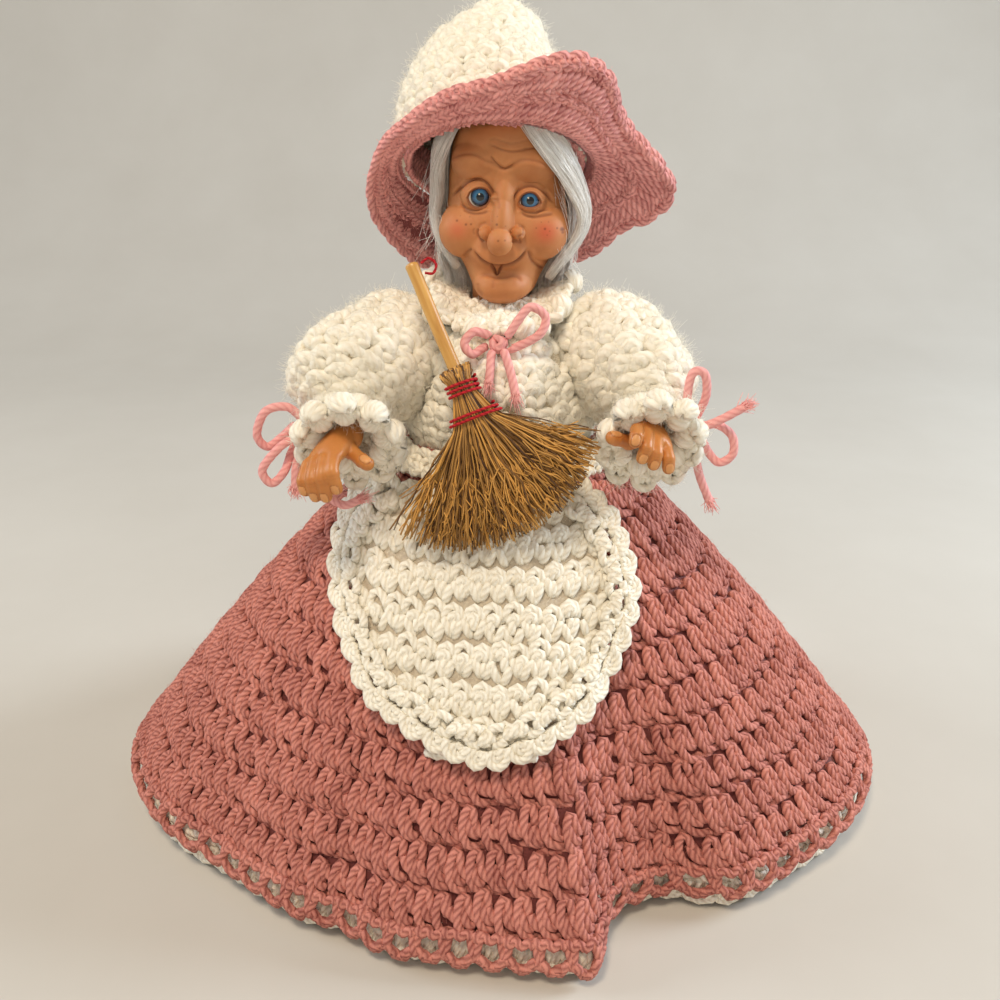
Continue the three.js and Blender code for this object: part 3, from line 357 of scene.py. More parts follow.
def placeOf(tree):
    return nodeOf(tree, "ShaderNodeTexCoord").outputs["Object"]


def strandOf(tree):  # millimetres along a strand, and the share of a turn round it
    strandUv = nodeOf(tree, "ShaderNodeUVMap", uv_map="strand").outputs[0]
    return nodeOf(tree, "ShaderNodeSeparateXYZ", {0: strandUv}).outputs


def bumpOf(tree, height, distance):
    return nodeOf(tree, "ShaderNodeBump", {"Height": height, "Distance": distance}).outputs[0]


def newGroup(name, inputs):  # every group gives a colour and a height
    group = bpy.data.node_groups.new(name, "ShaderNodeTree")
    for label, kind, value in inputs:
        socket = group.interface.new_socket(label, in_out="INPUT", socket_type="NodeSocket" + kind)
        socket.default_value = value
    for label, kind in (("Color", "Color"), ("Height", "Float")):
        group.interface.new_socket(label, in_out="OUTPUT", socket_type="NodeSocket" + kind)
    source, target = group.nodes.new("NodeGroupInput"), group.nodes.new("NodeGroupOutput")
    return group, source.outputs, target.inputs


def newMaterial(name, roughness, sheen=0.0, specular=0.5, subsurface=(0.0, 0.001), coat=(0.0, 0.03)):
    material = bpy.data.materials.new(name)
    material.use_nodes = True
    tree = material.node_tree
    shader = tree.nodes["Principled BSDF"]
    for label, value in {"Roughness": roughness, "Sheen Weight": sheen, "Sheen Roughness": 0.45,
                         "Specular IOR Level": specular, "Subsurface Weight": subsurface[0],
                         "Subsurface Scale": subsurface[1], "Coat Weight": coat[0],
                         "Coat Roughness": coat[1]}.items():
        shader.inputs[label].default_value = value
    return material, tree, shader


def groupMaterial(name, groupTree, values, bump, *surface):  # its colour and height come from a shared group
    material, tree, shader = newMaterial(name, *surface)
    group = nodeOf(tree, "ShaderNodeGroup", values, node_tree=groupTree)
    tree.links.new(group.outputs["Color"], shader.inputs["Base Color"])
    tree.links.new(bumpOf(tree, group.outputs["Height"], bump * mm), shader.inputs["Normal"])
    return material, shader


def colour(red, green, blue):  # sRGB values from 0 to 255
    shares = [x / 255 for x in (red, green, blue)]
    return tuple((x / 12.92 if x <= 10 / 255 else ((x + 0.055) / 1.055) ** 2.4) for x in shares) + (1,)


# Plies twisted round a strand, from its map of length in millimetres and share of a turn; the grooves between
# plies get painted shade
plyGroup, plyIn, plyOut = newGroup(
    "pliedYarn",
    [("Plies", "Float", 4.0), ("Pitch", "Float", 2.4), ("Fibre Scale", "Float", 2400.0),
     ("Groove Shade And Dark Tone Colour", "Color", (0, 0, 0, 1)), ("Crest Colour", "Color", (1, 1, 1, 1)),
     ("Tone Spread", "Float", 0.5)],
)
plyMap = strandOf(plyGroup)
turns = maths(plyGroup, "ADD", maths(plyGroup, "MULTIPLY", plyMap[1], plyIn["Plies"]),
              maths(plyGroup, "DIVIDE", plyMap[0], plyIn["Pitch"]))
wave = maths(plyGroup, "SINE", maths(plyGroup, "MULTIPLY", turns, 2 * math.pi))
halfWave = nodeOf(plyGroup, "ShaderNodeMath", {0: wave, 1: 0.5, 2: 0.5}, operation="MULTIPLY_ADD",
                  use_clamp=True)
crest = maths(plyGroup, "POWER", halfWave.outputs[0], 0.6)
place3 = placeOf(plyGroup)
fibres, patches = noiseOf(plyGroup, place3, plyIn["Fibre Scale"], 3.0, 0.65), noiseOf(plyGroup, place3, 90.0)
height = maths(plyGroup, "ADD", maths(plyGroup, "MULTIPLY", crest, 0.8),
               maths(plyGroup, "MULTIPLY", fibres, 0.45))
plyGroup.links.new(height, plyOut["Height"])
toned = maths(plyGroup, "SUBTRACT", maths(plyGroup, "ADD", valueOf(plyGroup, "tone"), patches), 1.0)
# the ply crest lightens the colour, so the grooves keep painted shade; tone and fibres vary at random
share = maths(plyGroup, "ADD", maths(plyGroup, "MULTIPLY", crest, 0.55),
              maths(plyGroup, "MULTIPLY", toned, plyIn["Tone Spread"]))
share = maths(plyGroup, "ADD", share, maths(plyGroup, "MULTIPLY", fibres, 0.6), clamp=True)
plyGroup.links.new(mixColour(plyGroup, share, plyIn["Groove Shade And Dark Tone Colour"], plyIn["Crest Colour"]), plyOut["Color"])


# hollow: colour in the ply grooves, painted shade that is also the dark end of the random tone
def yarnMaterial(name, hollow, crestColour, sheen=0.35, plies=4.0, pitch=2.4, fibreScale=2400.0, spread=0.5,
                 bump=0.35):
    values = {"Plies": plies, "Pitch": pitch, "Fibre Scale": fibreScale, "Groove Shade And Dark Tone Colour": colour(*hollow),
              "Crest Colour": colour(*crestColour), "Tone Spread": spread}
    material, shader = groupMaterial(name, plyGroup, values, bump, 0.9, sheen, 0.25)
    shader.inputs["Sheen Tint"].default_value = colour(*crestColour)
    return material


# Speckle, for foam, fibre, wood and painted vinyl
speckleGroup, speckleIn, speckleOut = newGroup(
    "speckle",
    [("Scale", "Float", 600.0), ("Stretch", "Vector", (1, 1, 1)), ("Low Colour", "Color", (0, 0, 0, 1)),
     ("High Colour", "Color", (1, 1, 1, 1)), ("Contrast", "Float", 1.5)],
)
speckleFrom = nodeOf(speckleGroup, "ShaderNodeVectorMath",
                     {0: placeOf(speckleGroup), 1: speckleIn["Stretch"]}, operation="MULTIPLY").outputs[0]
speckleNoise = noiseOf(speckleGroup, speckleFrom, speckleIn["Scale"], 5.0, 0.6)
speckleShare = maths(speckleGroup, "ADD", maths(speckleGroup, "MULTIPLY", maths(
    speckleGroup, "SUBTRACT", speckleNoise, 0.5), speckleIn["Contrast"]), 0.5, clamp=True)
speckleColour = mixColour(speckleGroup, speckleShare, speckleIn["Low Colour"], speckleIn["High Colour"])
speckleGroup.links.new(speckleColour, speckleOut["Color"])
speckleGroup.links.new(speckleShare, speckleOut["Height"])


def speckledMaterial(name, low, high, scale, stretch=(1, 1, 1), contrast=1.5, roughness=0.8, bump=0.1,
                     sheen=0.0, specular=0.5):
    values = {"Scale": scale, "Stretch": stretch, "Low Colour": colour(*low), "High Colour": colour(*high),
              "Contrast": contrast}
    return groupMaterial(name, speckleGroup, values, bump, roughness, sheen, specular)[0]


def vinylMaterial(name, look):  # painted vinyl: warm, slightly see-into, tinted where its masks are
    material, tree, shader = newMaterial(name, look["roughness"], 0.0, look["specular"], look["subsurface"])
    shader.inputs["Subsurface Radius"].default_value = look["reach"]
    values = {"Scale": look["speckle"], "Low Colour": colour(*look["low"]),
              "High Colour": colour(*look["high"]), "Contrast": 1.6}
    skin = nodeOf(tree, "ShaderNodeGroup", values, node_tree=speckleGroup).outputs["Color"]
    # the crease mask is painted shade; the other masks are the doll's own paint
    for label, (strength, tint) in look["masks"].items():
        share = maths(tree, "MULTIPLY", valueOf(tree, label), strength, clamp=True)
        skin = mixColour(tree, share, skin, colour(*tint))
    tree.links.new(skin, shader.inputs["Base Color"])
    pores = noiseOf(tree, placeOf(tree), 2600.0)
    tree.links.new(bumpOf(tree, pores, 0.02 * mm), shader.inputs["Normal"])
    return material


pinkYarn = yarnMaterial("pinkYarn", (120, 52, 48), (220, 147, 133), sheen=0.3)
hatPink = yarnMaterial("hatPink", (160, 82, 84), (252, 182, 176), sheen=0.5)
bowPink = yarnMaterial("bowPink", (218, 138, 138), (248, 186, 182), sheen=0.6, spread=0.3, bump=0.12)
whiteYarn = yarnMaterial("whiteYarn", (226, 215, 192), (255, 252, 240), spread=0.2, bump=0.25)
creamYarn = yarnMaterial("creamYarn", (236, 226, 204), (255, 252, 240), pitch=3.6, fibreScale=3200.0,
                         spread=0.15, sheen=0.6, bump=0.2)
shadeClothColours = {  # of the thin cloth under the stitches, darker than the yarn as painted shade in the gaps between stitches
    "hatShadeCloth": ((126, 62, 62), (170, 94, 92)), "pinkShadeCloth": ((92, 38, 36), (126, 60, 56)),
    "whiteShadeCloth": ((176, 160, 140), (222, 212, 192)), "creamShadeCloth": ((190, 176, 150), (230, 220, 198)),
}
hatShadeCloth, pinkShadeCloth, whiteShadeCloth, creamShadeCloth = [
    speckledMaterial(name, *colours, 900, bump=0.3, sheen=0.2) for name, colours in shadeClothColours.items()]
print("yarn materials ready")

# Bows: routes in millimetres, as in the part; each loop is a cord of its own that starts and ends at its knot
bowYarn = {"diameter": 2.8, "sides": 14, "plies": 4, "twist": 1.9, "lobe": 0.06, "step": 0.45,
           "knotRadius": 3.1, "knotYarn": 1.15, "knotLobe": 0.18, "frayFibres": 60, "leastCord": 30}
bows = {
    "neck_bow": {
        "body": "torso",
        "knot": (-0.5, -34.2, 178.6),
        "loop_left": [(2.5, -34.6, 181.6), (5.6, -34.4, 186), (9.4, -33.4, 190), (14, -32.6, 186.8),
                      (12.2, -34, 181.6), (3.5, -34.6, 177.6)],
        "loop_right": [(-3.4, -34.4, 181), (-8.2, -36, 182.8), (-11, -37, 179.4), (-8.6, -37.4, 176.2),
                       (-4.5, -34.2, 177.6)],
        "tail_left": [(1.4, -37.5, 176.4), (3.4, -40, 170.6), (4.8, -42.4, 164.6)],
        "tail_right": [(-2.4, -37.2, 176.2), (-3, -40, 172.2), (-3.4, -41.6, 168)],
    },
    "left_bow": {
        "body": "left_arm",
        "knot": (60.6, -36, 152),
        "loop_upper": [(59.4, -37.6, 155.6), (58.4, -39, 163), (59, -39.6, 169.8), (61.2, -39.6, 171.6),
                       (63.6, -39.4, 169.6), (64.4, -38, 163), (62.6, -35.6, 156)],
        "loop_lower": [(64.3, -37, 153), (69, -38, 153.6), (73.6, -38.5, 150), (74.3, -38.5, 144),
                       (70.3, -38, 141), (66.6, -37, 144.4), (64, -36, 149.2)],
        "tail_upper": [(62.2, -39.8, 153), (68.8, -42, 156.6), (75.9, -41.5, 160.5)],
        "tail_lower": [(61.2, -38.8, 148.9), (63.6, -41, 138), (67.7, -40.5, 128.6)],
    },
    "right_bow": {
        "body": "right_arm",
        "knot": (-61.4, -35.8, 150.4),
        "loop_upper": [(-62.7, -36.2, 154.5), (-67, -37.6, 159.4), (-73.6, -38.6, 158.2), (-77, -38.4, 150.6),
                       (-74.4, -37, 146), (-69.6, -35.6, 149), (-65.3, -35.4, 152.2)],
        "loop_lower": [(-65, -38.1, 149.6), (-70, -41.4, 146.8), (-75.4, -42.2, 140), (-73, -41.6, 135.2),
                       (-69, -40, 138.6), (-67.2, -36.6, 143.4), (-64.7, -34.3, 147.8)],
        "tail_outer": [(-62.9, -38.3, 146.9), (-64.9, -41, 140.4), (-65.6, -41.2, 133.6)],
        "tail_inner": [(-60.6, -34.6, 146.3), (-61.4, -34.2, 139), (-57.5, -37.2, 131), (-51, -39.8, 127),
                       (-45, -41, 129.4)],
    },
}


def yarnRoute(knot, route, closes):  # leaves the knot squarely, as the part's yarn does
    knot = np.array(knot, float)
    near = [bowYarn["knotRadius"] + 0.5, bowYarn["knotRadius"] + bowYarn["diameter"] / 2 + 0.4]

    def fromKnot(towards):
        way = unit(np.array(towards, float) - knot)
        return [knot + way * distance for distance in near]

    points = fromKnot(route[0]) + [np.array(p, float) for p in (route[1:-1] if closes else route[1:])]
    if closes:
        points += fromKnot(route[-1])[::-1]
    return evenly(spline(points, 24 * len(points)), bowYarn["step"])


def frames(line):  # an outward direction carried along a line without twisting
    along = unit(np.gradient(line, axis=0))
    up = unit(np.cross(along[0], (0.3, 0.9, 0.2)))
    ups = []
    for tangent in along:
        up = unit(up - tangent * (up @ tangent))
        ups.append(up)
    return np.array(ups)


def yarnTube(line):
    radius = np.full(len(line), bowYarn["diameter"] / 2)
    radius[[0, -1]] *= 0.8
    tube = strandArrays(line[None], frames(line)[None], radius[None], bowYarn["sides"], 1.0, bowYarn["plies"],
                        bowYarn["twist"], bowYarn["lobe"])
    return [tube], [np.full(len(line) * bowYarn["sides"], 0.5)]


def frayedEnd(line):  # loose plies and fibres at a cut end
    end, way = line[-1], unit(line[-1] - line[-4])
    parts, tones = [], []
    for _ in range(bowYarn["frayFibres"]):
        off = rng.normal(0, 0.75, 3)
        length = rng.uniform(1.0, 3.6)
        stray = rng.normal(0, 1.0, 3)
        fibre = spline([end - way * 1.2 + off * 0.5, end + off * 0.9, end + way * length + off + stray], 6)
        parts.append(fibreArrays(fibre[None], frames(fibre)[None], np.linspace(0.2, 0.08, 6)[None], 5))
        tones.append(np.full(30, rng.uniform(0.5, 0.9)))
    return parts, tones


def knotLines(centre, radius):  # one strand wound over itself three ways
    s = np.linspace(0, 2 * np.pi, 60)
    lines = []
    for k, axes in enumerate(((0, 1, 2), (1, 2, 0), (2, 0, 1))):
        ring = np.zeros((len(s), 3))
        ring[:, axes[0]] = radius * 0.62 * np.cos(s)
        ring[:, axes[1]] = radius * 0.62 * np.sin(s)
        ring[:, axes[2]] = radius * 0.34 * np.cos(2 * s + k)
        lines.append(ring + np.array(centre))
    return lines


for bowName, bow in bows.items():
    knotParts = [strandArrays(line[None], unit(line - np.array(bow["knot"]))[None], bowYarn["knotYarn"], 10,
                              1.0, bowYarn["plies"], bowYarn["twist"], bowYarn["knotLobe"])
                 for line in knotLines(bow["knot"], bowYarn["knotRadius"])]
    knot = strandPiece(bowName + "Knot", knotParts, 0.5, bowPink)
    replace(knot, bow["body"], "pink_yarn", bowName + "_knot")
    loose, cords = [], []
    for stretch, route in bow.items():
        if stretch in ("body", "knot"):
            continue
        closes = stretch.startswith("loop")
        line = yarnRoute(bow["knot"], route, closes)
        parts, tones = yarnTube(line)
        isCord = lengthOf(line) >= bowYarn["leastCord"]  # a shorter stretch is kept as a loose piece
        if not closes:
            frayParts, frayTones = frayedEnd(line)
            if isCord:
                fray = strandPiece(f"{bowName}_{stretch}_fray", frayParts, np.concatenate(frayTones), bowPink)
                replace(fray, bow["body"], "pink_yarn", f"{bowName}_{stretch}")
                loose.append(fray)
            else:
                parts, tones = parts + frayParts, tones + frayTones
        piece = strandPiece(f"{bowName}_{stretch}_yarn", parts, np.concatenate(tones), bowPink)
        replace(piece, bow["body"], "pink_yarn", f"{bowName}_{stretch}")
        if isCord:
            cords.append((piece, line, "knot" if closes else "bare"))
        else:
            loose.append(piece)
    for index, (piece, line, farEnd) in enumerate(cords):
        lengthOf(line) * mm
print("bows tied")

# Patterns of a stitch's strands in its cell: across, down, and millimetres out of the cloth
doubleCrochet = [
    [(0.66, 0.56, -0.4), (0.70, 0.30, 0.5), (0.56, 0.07, 0.6), (0.32, 0.09, 0.7), (0.16, 0.34, 0.8),
     (0.17, 0.64, 0.9), (0.36, 0.88, 0.8), (0.68, 0.94, 0.5), (1.00, 0.95, -0.3)],
    [(-0.10, 1.00, -0.9), (0.14, 0.97, -0.4), (0.40, 1.03, -0.9), (0.64, 0.98, -0.4), (0.90, 1.01, -0.9)],
    [(0.36, 0.34, -0.2), (0.42, 0.52, 0.7), (0.58, 0.70, 0.7), (0.92, 0.76, 0.0)],
    [(0.70, 0.38, 0.2), (0.82, 0.52, 0.4), (0.96, 0.62, 0.3), (1.12, 0.66, -0.3)],
]
apronCrochet = [
    [(0.00, 0.50, -0.5), (0.12, 0.24, 0.7), (0.50, 0.08, 1.1), (0.88, 0.24, 0.7), (1.00, 0.50, -0.5)],
    [(0.28, 0.54, -0.1), (0.38, 0.34, 0.9), (0.62, 0.34, 0.9), (0.72, 0.54, -0.1)],
    [(0.06, 0.52, 0.2), (0.16, 0.66, 0.7), (0.30, 0.82, 0.6), (0.46, 0.93, -0.1)],
    [(0.94, 0.52, 0.2), (0.84, 0.66, 0.7), (0.70, 0.82, 0.6), (0.54, 0.93, -0.1)],
    [(0.50, 0.52, 0.2), (0.50, 0.64, 0.7), (0.50, 0.82, 0.3)],
    [(-0.10, 1.00, -1.0), (0.14, 0.96, -0.6), (0.40, 1.04, -1.0), (0.64, 0.97, -0.6), (0.92, 1.01, -1.0)],
]

# Skirt: the part's own surface, rows of double crochet from waist to hem
skirtForm = {
    "waistHeight": 142, "waistRadius": 33, "hemSide": 142, "hemFront": 113, "hemHeights": (8, 14),
    "flare": 0.05, "rows": 11, "upperRows": 7, "stitchWidth": 7.3, "yarnRadius": 1.5, "depth": 1.7,
    "laceStart": 0.955, "bulge": 1.3, "fuzz": (9000, 1.3),
    "hemOutline": [
        (0, 113), (9, 116.5), (14.5, 118), (19, 104), (25, 97.5), (34, 101), (42, 116), (54, 124.5),
        (70, 138), (86, 145), (104, 141), (122, 131), (140, 125), (158, 112), (176, 117), (194, 112),
        (212, 125), (232, 130), (252, 141), (268, 145), (279, 142.5), (296, 131), (305, 122), (315, 117),
        (326, 114), (333, 110.5), (341, 113), (350, 112.5),
    ],
}


def hemHeight(degrees):
    front, side = skirtForm["hemHeights"]
    return front + (side - front) * np.sin(np.radians(degrees)) ** 2


def skirtRadius(degrees, height):
    waist = skirtForm["waistHeight"]
    drop = np.minimum((waist - height) / (waist - hemHeight(degrees)), 1)
    turn = np.radians(degrees)
    plain = 1 / np.hypot(np.sin(turn) / skirtForm["hemSide"], np.cos(turn) / skirtForm["hemFront"])
    bow = skirtForm["flare"] * np.sin(np.pi * drop)
    fold = (valueAt(skirtForm["hemOutline"], degrees, 1, True) - plain) * drop * np.abs(drop)
    return skirtForm["waistRadius"] + (plain - skirtForm["waistRadius"]) * (drop + bow) + fold


def onSkirt(u, v):  # v from 0 at the waist to 1 at the hem
    degrees = 360 * u
    height = skirtForm["waistHeight"] + (hemHeight(degrees) - skirtForm["waistHeight"]) * v
    return ringPoint(degrees, skirtRadius(degrees, height), height)


skirtRows = []
for row in range(skirtForm["rows"]):
    start = skirtForm["laceStart"] * row / skirtForm["rows"]
    end = skirtForm["laceStart"] * (row + 1) / skirtForm["rows"]
    count = round(rowLength(onSkirt, end) / skirtForm["stitchWidth"])
    skirtRows.append((start, end, count, 0.37 * row % 1))
halves = {"Upper": skirtRows[:skirtForm["upperRows"]], "Lower": skirtRows[skirtForm["upperRows"]:]}
skirtLines = [stitchLines(onSkirt, rows, doubleCrochet, skirtForm["depth"], stations=10,
                          bulge=skirtForm["bulge"])
              for rows in halves.values()]
skirtUpper, skirtLower = [stitchPiece("skirtStitches" + half, lines, skirtForm["yarnRadius"], pinkYarn,
                                      fuzz=skirtForm["fuzz"]) for half, lines in zip(halves, skirtLines)]

# Lace along the hem: arches of chain between small posts
lace = {"width": 11.0, "radius": 1.45}
arch = [
    [(-0.14, -0.10, 0.0), (-0.08, 0.20, 0.5), (0.00, 0.50, 0.5), (0.02, 0.66, 0.0)],
    [(0.14, -0.10, 0.0), (0.08, 0.20, 0.6), (0.02, 0.46, 0.6), (-0.04, 0.64, 0.2)],
    [(0.00, 0.46, 0.6), (0.14, 0.74, -0.3), (0.32, 0.70, 0.7), (0.50, 0.96, -0.3), (0.68, 0.70, 0.7),
     (0.86, 0.72, -0.3), (1.00, 0.48, 0.6)],
    [(0.00, 0.66, -0.3), (0.17, 0.54, 0.7), (0.32, 0.92, -0.3), (0.50, 0.76, 0.7), (0.68, 0.92, -0.3),
     (0.83, 0.54, 0.7), (1.00, 0.66, -0.3)],
    [(-0.08, -0.06, 0.6), (0.12, 0.10, 1.0), (0.30, -0.02, 0.5), (0.52, 0.10, 1.0), (0.74, -0.02, 0.5),
     (0.92, 0.10, 1.0)],
]
hemCount = round(rowLength(onSkirt, 1.0) / lace["width"])
hemLace = stitchLines(onSkirt, [(skirtForm["laceStart"], 1.032, hemCount, 0.2)], arch, 1.2, stations=16,
                      jitter=0.03)
hemPiece = stitchPiece("skirtHemLace", hemLace, lace["radius"], pinkYarn)
skirtCloth = clothPiece("skirtCloth", onSkirt, 240, (0, skirtForm["laceStart"], 40), -2.7, -3.3, pinkShadeCloth)
for piece in (skirtCloth, skirtUpper, skirtLower, hemPiece):
    replace(piece, "torso", "pink_yarn", "skirt")
print("skirt crocheted")

# Petticoat: white, its scalloped edge shows below the hem
petticoat = {"inset": 3.82, "scallop": 9.0}


def petticoatPlace(u, v):  # v from 0 at the waist to 1 at the floor
    degrees = 360 * u
    hem = hemHeight(degrees)
    share = (skirtForm["waistHeight"] - hem) / skirtForm["waistHeight"]
    height = np.where(v < share, skirtForm["waistHeight"] - (skirtForm["waistHeight"] - hem) * v / share,
                      hem * np.maximum(1 - v, 0) / (1 - share) + 0.2)
    return ringPoint(degrees, skirtRadius(degrees, height) - petticoat["inset"], height)


shell = [
    [(0.00, -0.20, 0.1), (0.05, 0.50, 0.2), (0.16, 0.80, -0.2)],
    [(0.25, -0.25, 0.1), (0.20, 0.40, 0.3), (0.26, 0.96, -0.2)],
    [(0.50, -0.25, 0.1), (0.50, 0.40, 0.4), (0.50, 1.02, -0.2)],
    [(0.75, -0.25, 0.1), (0.80, 0.40, 0.3), (0.74, 0.96, -0.2)],
    [(1.00, -0.20, 0.1), (0.95, 0.50, 0.2), (0.84, 0.80, -0.2)],
    [(0.02, 0.55, 0.3), (0.14, 0.86, 0.5), (0.34, 0.98, 0.2), (0.50, 1.04, 0.5), (0.66, 0.98, 0.2),
     (0.86, 0.86, 0.5), (0.98, 0.55, 0.3)],
]
edgeCount = round(rowLength(petticoatPlace, 0.99) / petticoat["scallop"])
petticoatEdge = stitchLines(petticoatPlace, [(0.94, 0.985, edgeCount, 0.0)], shell, 1.4, stations=7,
                            jitter=0.03)
petticoatEdge += stitchLines(petticoatPlace, [(0.86, 0.94, edgeCount, 0.3)], doubleCrochet, 1.4, stations=6)
petticoatLace = stitchPiece("petticoatLace", petticoatEdge, 1.25, whiteYarn)
petticoatCloth = clothPiece("petticoatCloth", petticoatPlace, 240, (0, 0.985, 40), -1.0, -2.2, whiteShadeCloth)
for piece in (petticoatCloth, petticoatLace):
    replace(piece, "torso", "white_yarn", "petticoat")
print("petticoat crocheted")

# Apron: a panel on the skirt that bridges its folds, with an edging of shells and eyelets
apronForm = {
    "top": 133.7, "bottom": 61, "lean": -5, "lift": 0.92, "wall": 3.0, "drape": (-6, -3, 0, 3, 6),
    "right": [(61, 2), (66, 18), (74, 35), (86, 44), (100, 50), (113, 50.5), (125, 45), (134, 32)],
    "left": [(61, 2), (66, 18), (74, 33), (86, 43), (100, 49), (113, 47), (125, 41), (134, 32)],
    "slope": 0.80,  # of height to length down the panel
    "ridge": 12.6, "stitchWidth": 5.8, "yarnRadius": 1.5, "border": 8.5,
}


def apronPoint(across, height, lift):
    y = np.full(np.broadcast(across, height).shape, -float(skirtForm["waistRadius"]))
    for _ in range(8):
        degrees = np.degrees(np.arctan2(across, -y))
        reach = np.max([skirtRadius(degrees + turn, height) for turn in apronForm["drape"]], axis=0) + lift
        y = -np.sqrt(np.maximum(reach**2 - across**2, 1))
    return np.stack(np.broadcast_arrays(across, y, height), -1)


def apronPlace(u, v):  # u and v are millimetres: across from the middle, and below the top
    height = apronForm["top"] - v
    return apronPoint(u + apronForm["lean"], height, apronForm["lift"] + apronForm["wall"])


def apronHalfWidths(v, trim=0.0):
    height = apronForm["top"] - v
    return -valueAt(apronForm["right"], height) + trim, valueAt(apronForm["left"], height) - trim


panelDepth = apronForm["top"] - apronForm["bottom"]
ridgeDrop = apronForm["ridge"] * apronForm["slope"]
apronStitches = []
v = 0.0
while v < panelDepth - apronForm["border"]:
    low, high = apronHalfWidths(v + ridgeDrop / 2, apronForm["border"] * 0.7)
    count = max(int((high - low) / apronForm["stitchWidth"]), 2)
    apronStitches += stitchLines(apronPlace, [(v, min(v + ridgeDrop, panelDepth - 3), count, 0.0)],
                                 apronCrochet, 1.6, stations=7, span=(low, high), bulge=1.5)
    v += ridgeDrop
apronKnit = stitchPiece("apronStitches", apronStitches, apronForm["yarnRadius"], whiteYarn, fuzz=(2500, 1.8))

outlineHeights = np.linspace(apronForm["top"], apronForm["bottom"], 200)
rightSide, leftSide = [
    np.stack([sign * valueAt(apronForm[side], outlineHeights), apronForm["top"] - outlineHeights], -1)
    for side, sign in (("right", -1), ("left", 1))]
outline = evenly(np.concatenate([rightSide, leftSide[::-1]]), 0.5)


def borderPlace(u, v):  # u along the outline from 0 to 1, v from the panel out to the edge
    last = len(outline) - 1
    station = np.clip(u, 0, 1) * last
    i = np.clip(station.astype(int), 0, last - 1)
    s = (station - i)[..., None]
    p = outline[i] * (1 - s) + outline[i + 1] * s
    way = unit(outline[np.clip(i + 8, 0, last)] - outline[np.clip(i - 8, 0, last)])
    inward = np.stack([way[..., 1], -way[..., 0]], -1)
    p = p + inward * ((1 - v) * apronForm["border"])[..., None]
    return apronPlace(p[..., 0], p[..., 1])


borderLength = lengthOf(apronPlace(outline[:, 0], outline[:, 1]))
eyelets = [
    [(0.00, 0.50, -0.2), (0.05, 0.10, 0.6), (0.16, -0.05, 0.8), (0.27, 0.10, 0.6), (0.32, 0.50, -0.2)],
    [(0.10, 0.55, -0.2), (0.16, 0.24, 0.7), (0.22, 0.55, -0.2)],
    [(0.32, 0.50, -0.2), (0.37, 0.10, 0.6), (0.48, -0.05, 0.8), (0.59, 0.10, 0.6), (0.64, 0.50, -0.2)],
    [(0.42, 0.55, -0.2), (0.48, 0.24, 0.7), (0.54, 0.55, -0.2)],
    [(0.60, -0.12, 0.0), (0.80, -0.22, 0.5), (1.04, -0.12, 0.0)],
    [(0.60, 0.52, 0.2), (0.80, 0.62, 0.6), (1.04, 0.52, 0.2)],
]
scallops = [
    [(0.02, 0.00, 0.0), (0.10, 0.62, 0.6), (0.50, 1.02, 0.6), (0.90, 0.62, 0.6), (0.98, 0.00, 0.0)],
    [(0.20, 0.00, 0.3), (0.30, 0.44, 0.9), (0.50, 0.62, 0.9), (0.70, 0.44, 0.9), (0.80, 0.00, 0.3)],
    [(0.38, -0.05, 0.5), (0.50, 0.28, 1.0), (0.62, -0.05, 0.5)],
]
edging = stitchLines(borderPlace, [(0.0, 0.62, round(borderLength / 13), 0.0)], eyelets, 1.6, 1, jitter=0.04)
edging += stitchLines(borderPlace, [(0.50, 1.0, round(borderLength / 8.8), 0.5)], scallops, 1.6, 1,
                      stations=9, jitter=0.04)
apronEdging = stitchPiece("apronEdging", edging, 1.45, whiteYarn, fuzz=(2500, 1.5))
print("apron crocheted")
panelV = np.linspace(0, panelDepth - apronForm["border"] * apronForm["slope"], 40)
panelGrid = []
for v in panelV:
    low, high = apronHalfWidths(v, apronForm["border"] * 0.75)
    panelGrid.append(np.stack([np.linspace(low, high, 48), np.full(48, v)], -1))
panelGrid = np.array(panelGrid)
p, normal = clothFrame(apronPlace, panelGrid[..., 0], panelGrid[..., 1], -1)
apronCloth = sheetPiece("apronCloth", (p - normal * 1.9)[:, ::-1], (p - normal * 2.7)[:, ::-1], False,
                        whiteShadeCloth)
for piece in (apronCloth, apronKnit, apronEdging):
    replace(piece, "torso", "white_yarn", "apron")

# Blouse: fuzzy cream crochet round the body
bodiceForm = {
    "rings": [  # height, half width, front depth, back depth
        (142.4, 33, 33, 32), (150, 33, 38.5, 34), (159, 30.5, 40, 34), (167, 28.5, 39, 33),
        (174, 27.4, 34.5, 30), (179.5, 23.5, 25, 24), (182.5, 17, 17, 17), (184, 13.5, 14, 13.5),
    ],
    "rows": 6, "stitchWidth": 7.6, "yarnRadius": 1.95,
}
shoulders = {"x": 36, "y": -10, "z": 170, "puff": 20}


def shoulderAt(side):
    return np.array((side * shoulders["x"], shoulders["y"], shoulders["z"]), float)


def ovalPoint(degrees, halfWidth, front, back, height):
    turn = np.radians(degrees)
    side, ahead = np.sin(turn), np.cos(turn)
    y = -ahead * np.where(ahead > 0, front, back)
    return np.stack(np.broadcast_arrays(side * halfWidth, y, height), -1)


def bodicePlace(u, v):  # v from 0 at the collar to 1 at the waist, by length down the front
    low, high = bodiceForm["rings"][0][0], bodiceForm["rings"][-1][0]
    height = high - (high - low) * np.maximum(v, 0) ** 1.35
    sizes = [valueAt(bodiceForm["rings"], height, k) for k in (1, 2, 3)]
    return ovalPoint(360 * u, *sizes, height)


def clearOfSleeves(points):
    away = [np.linalg.norm(points - shoulderAt(side), axis=-1) for side in (-1, 1)]
    return np.minimum(*away) > shoulders["puff"] + 1.2


def roundRows(place, count, width, top=0.0, bottom=1.0):
    rows = []
    for row in range(count):
        start, end = [top + (bottom - top) * k / count for k in (row, row + 1)]
        rows.append((start, end, max(round(rowLength(place, (start + end) / 2) / width), 6), 0.41 * row % 1))
    return rows


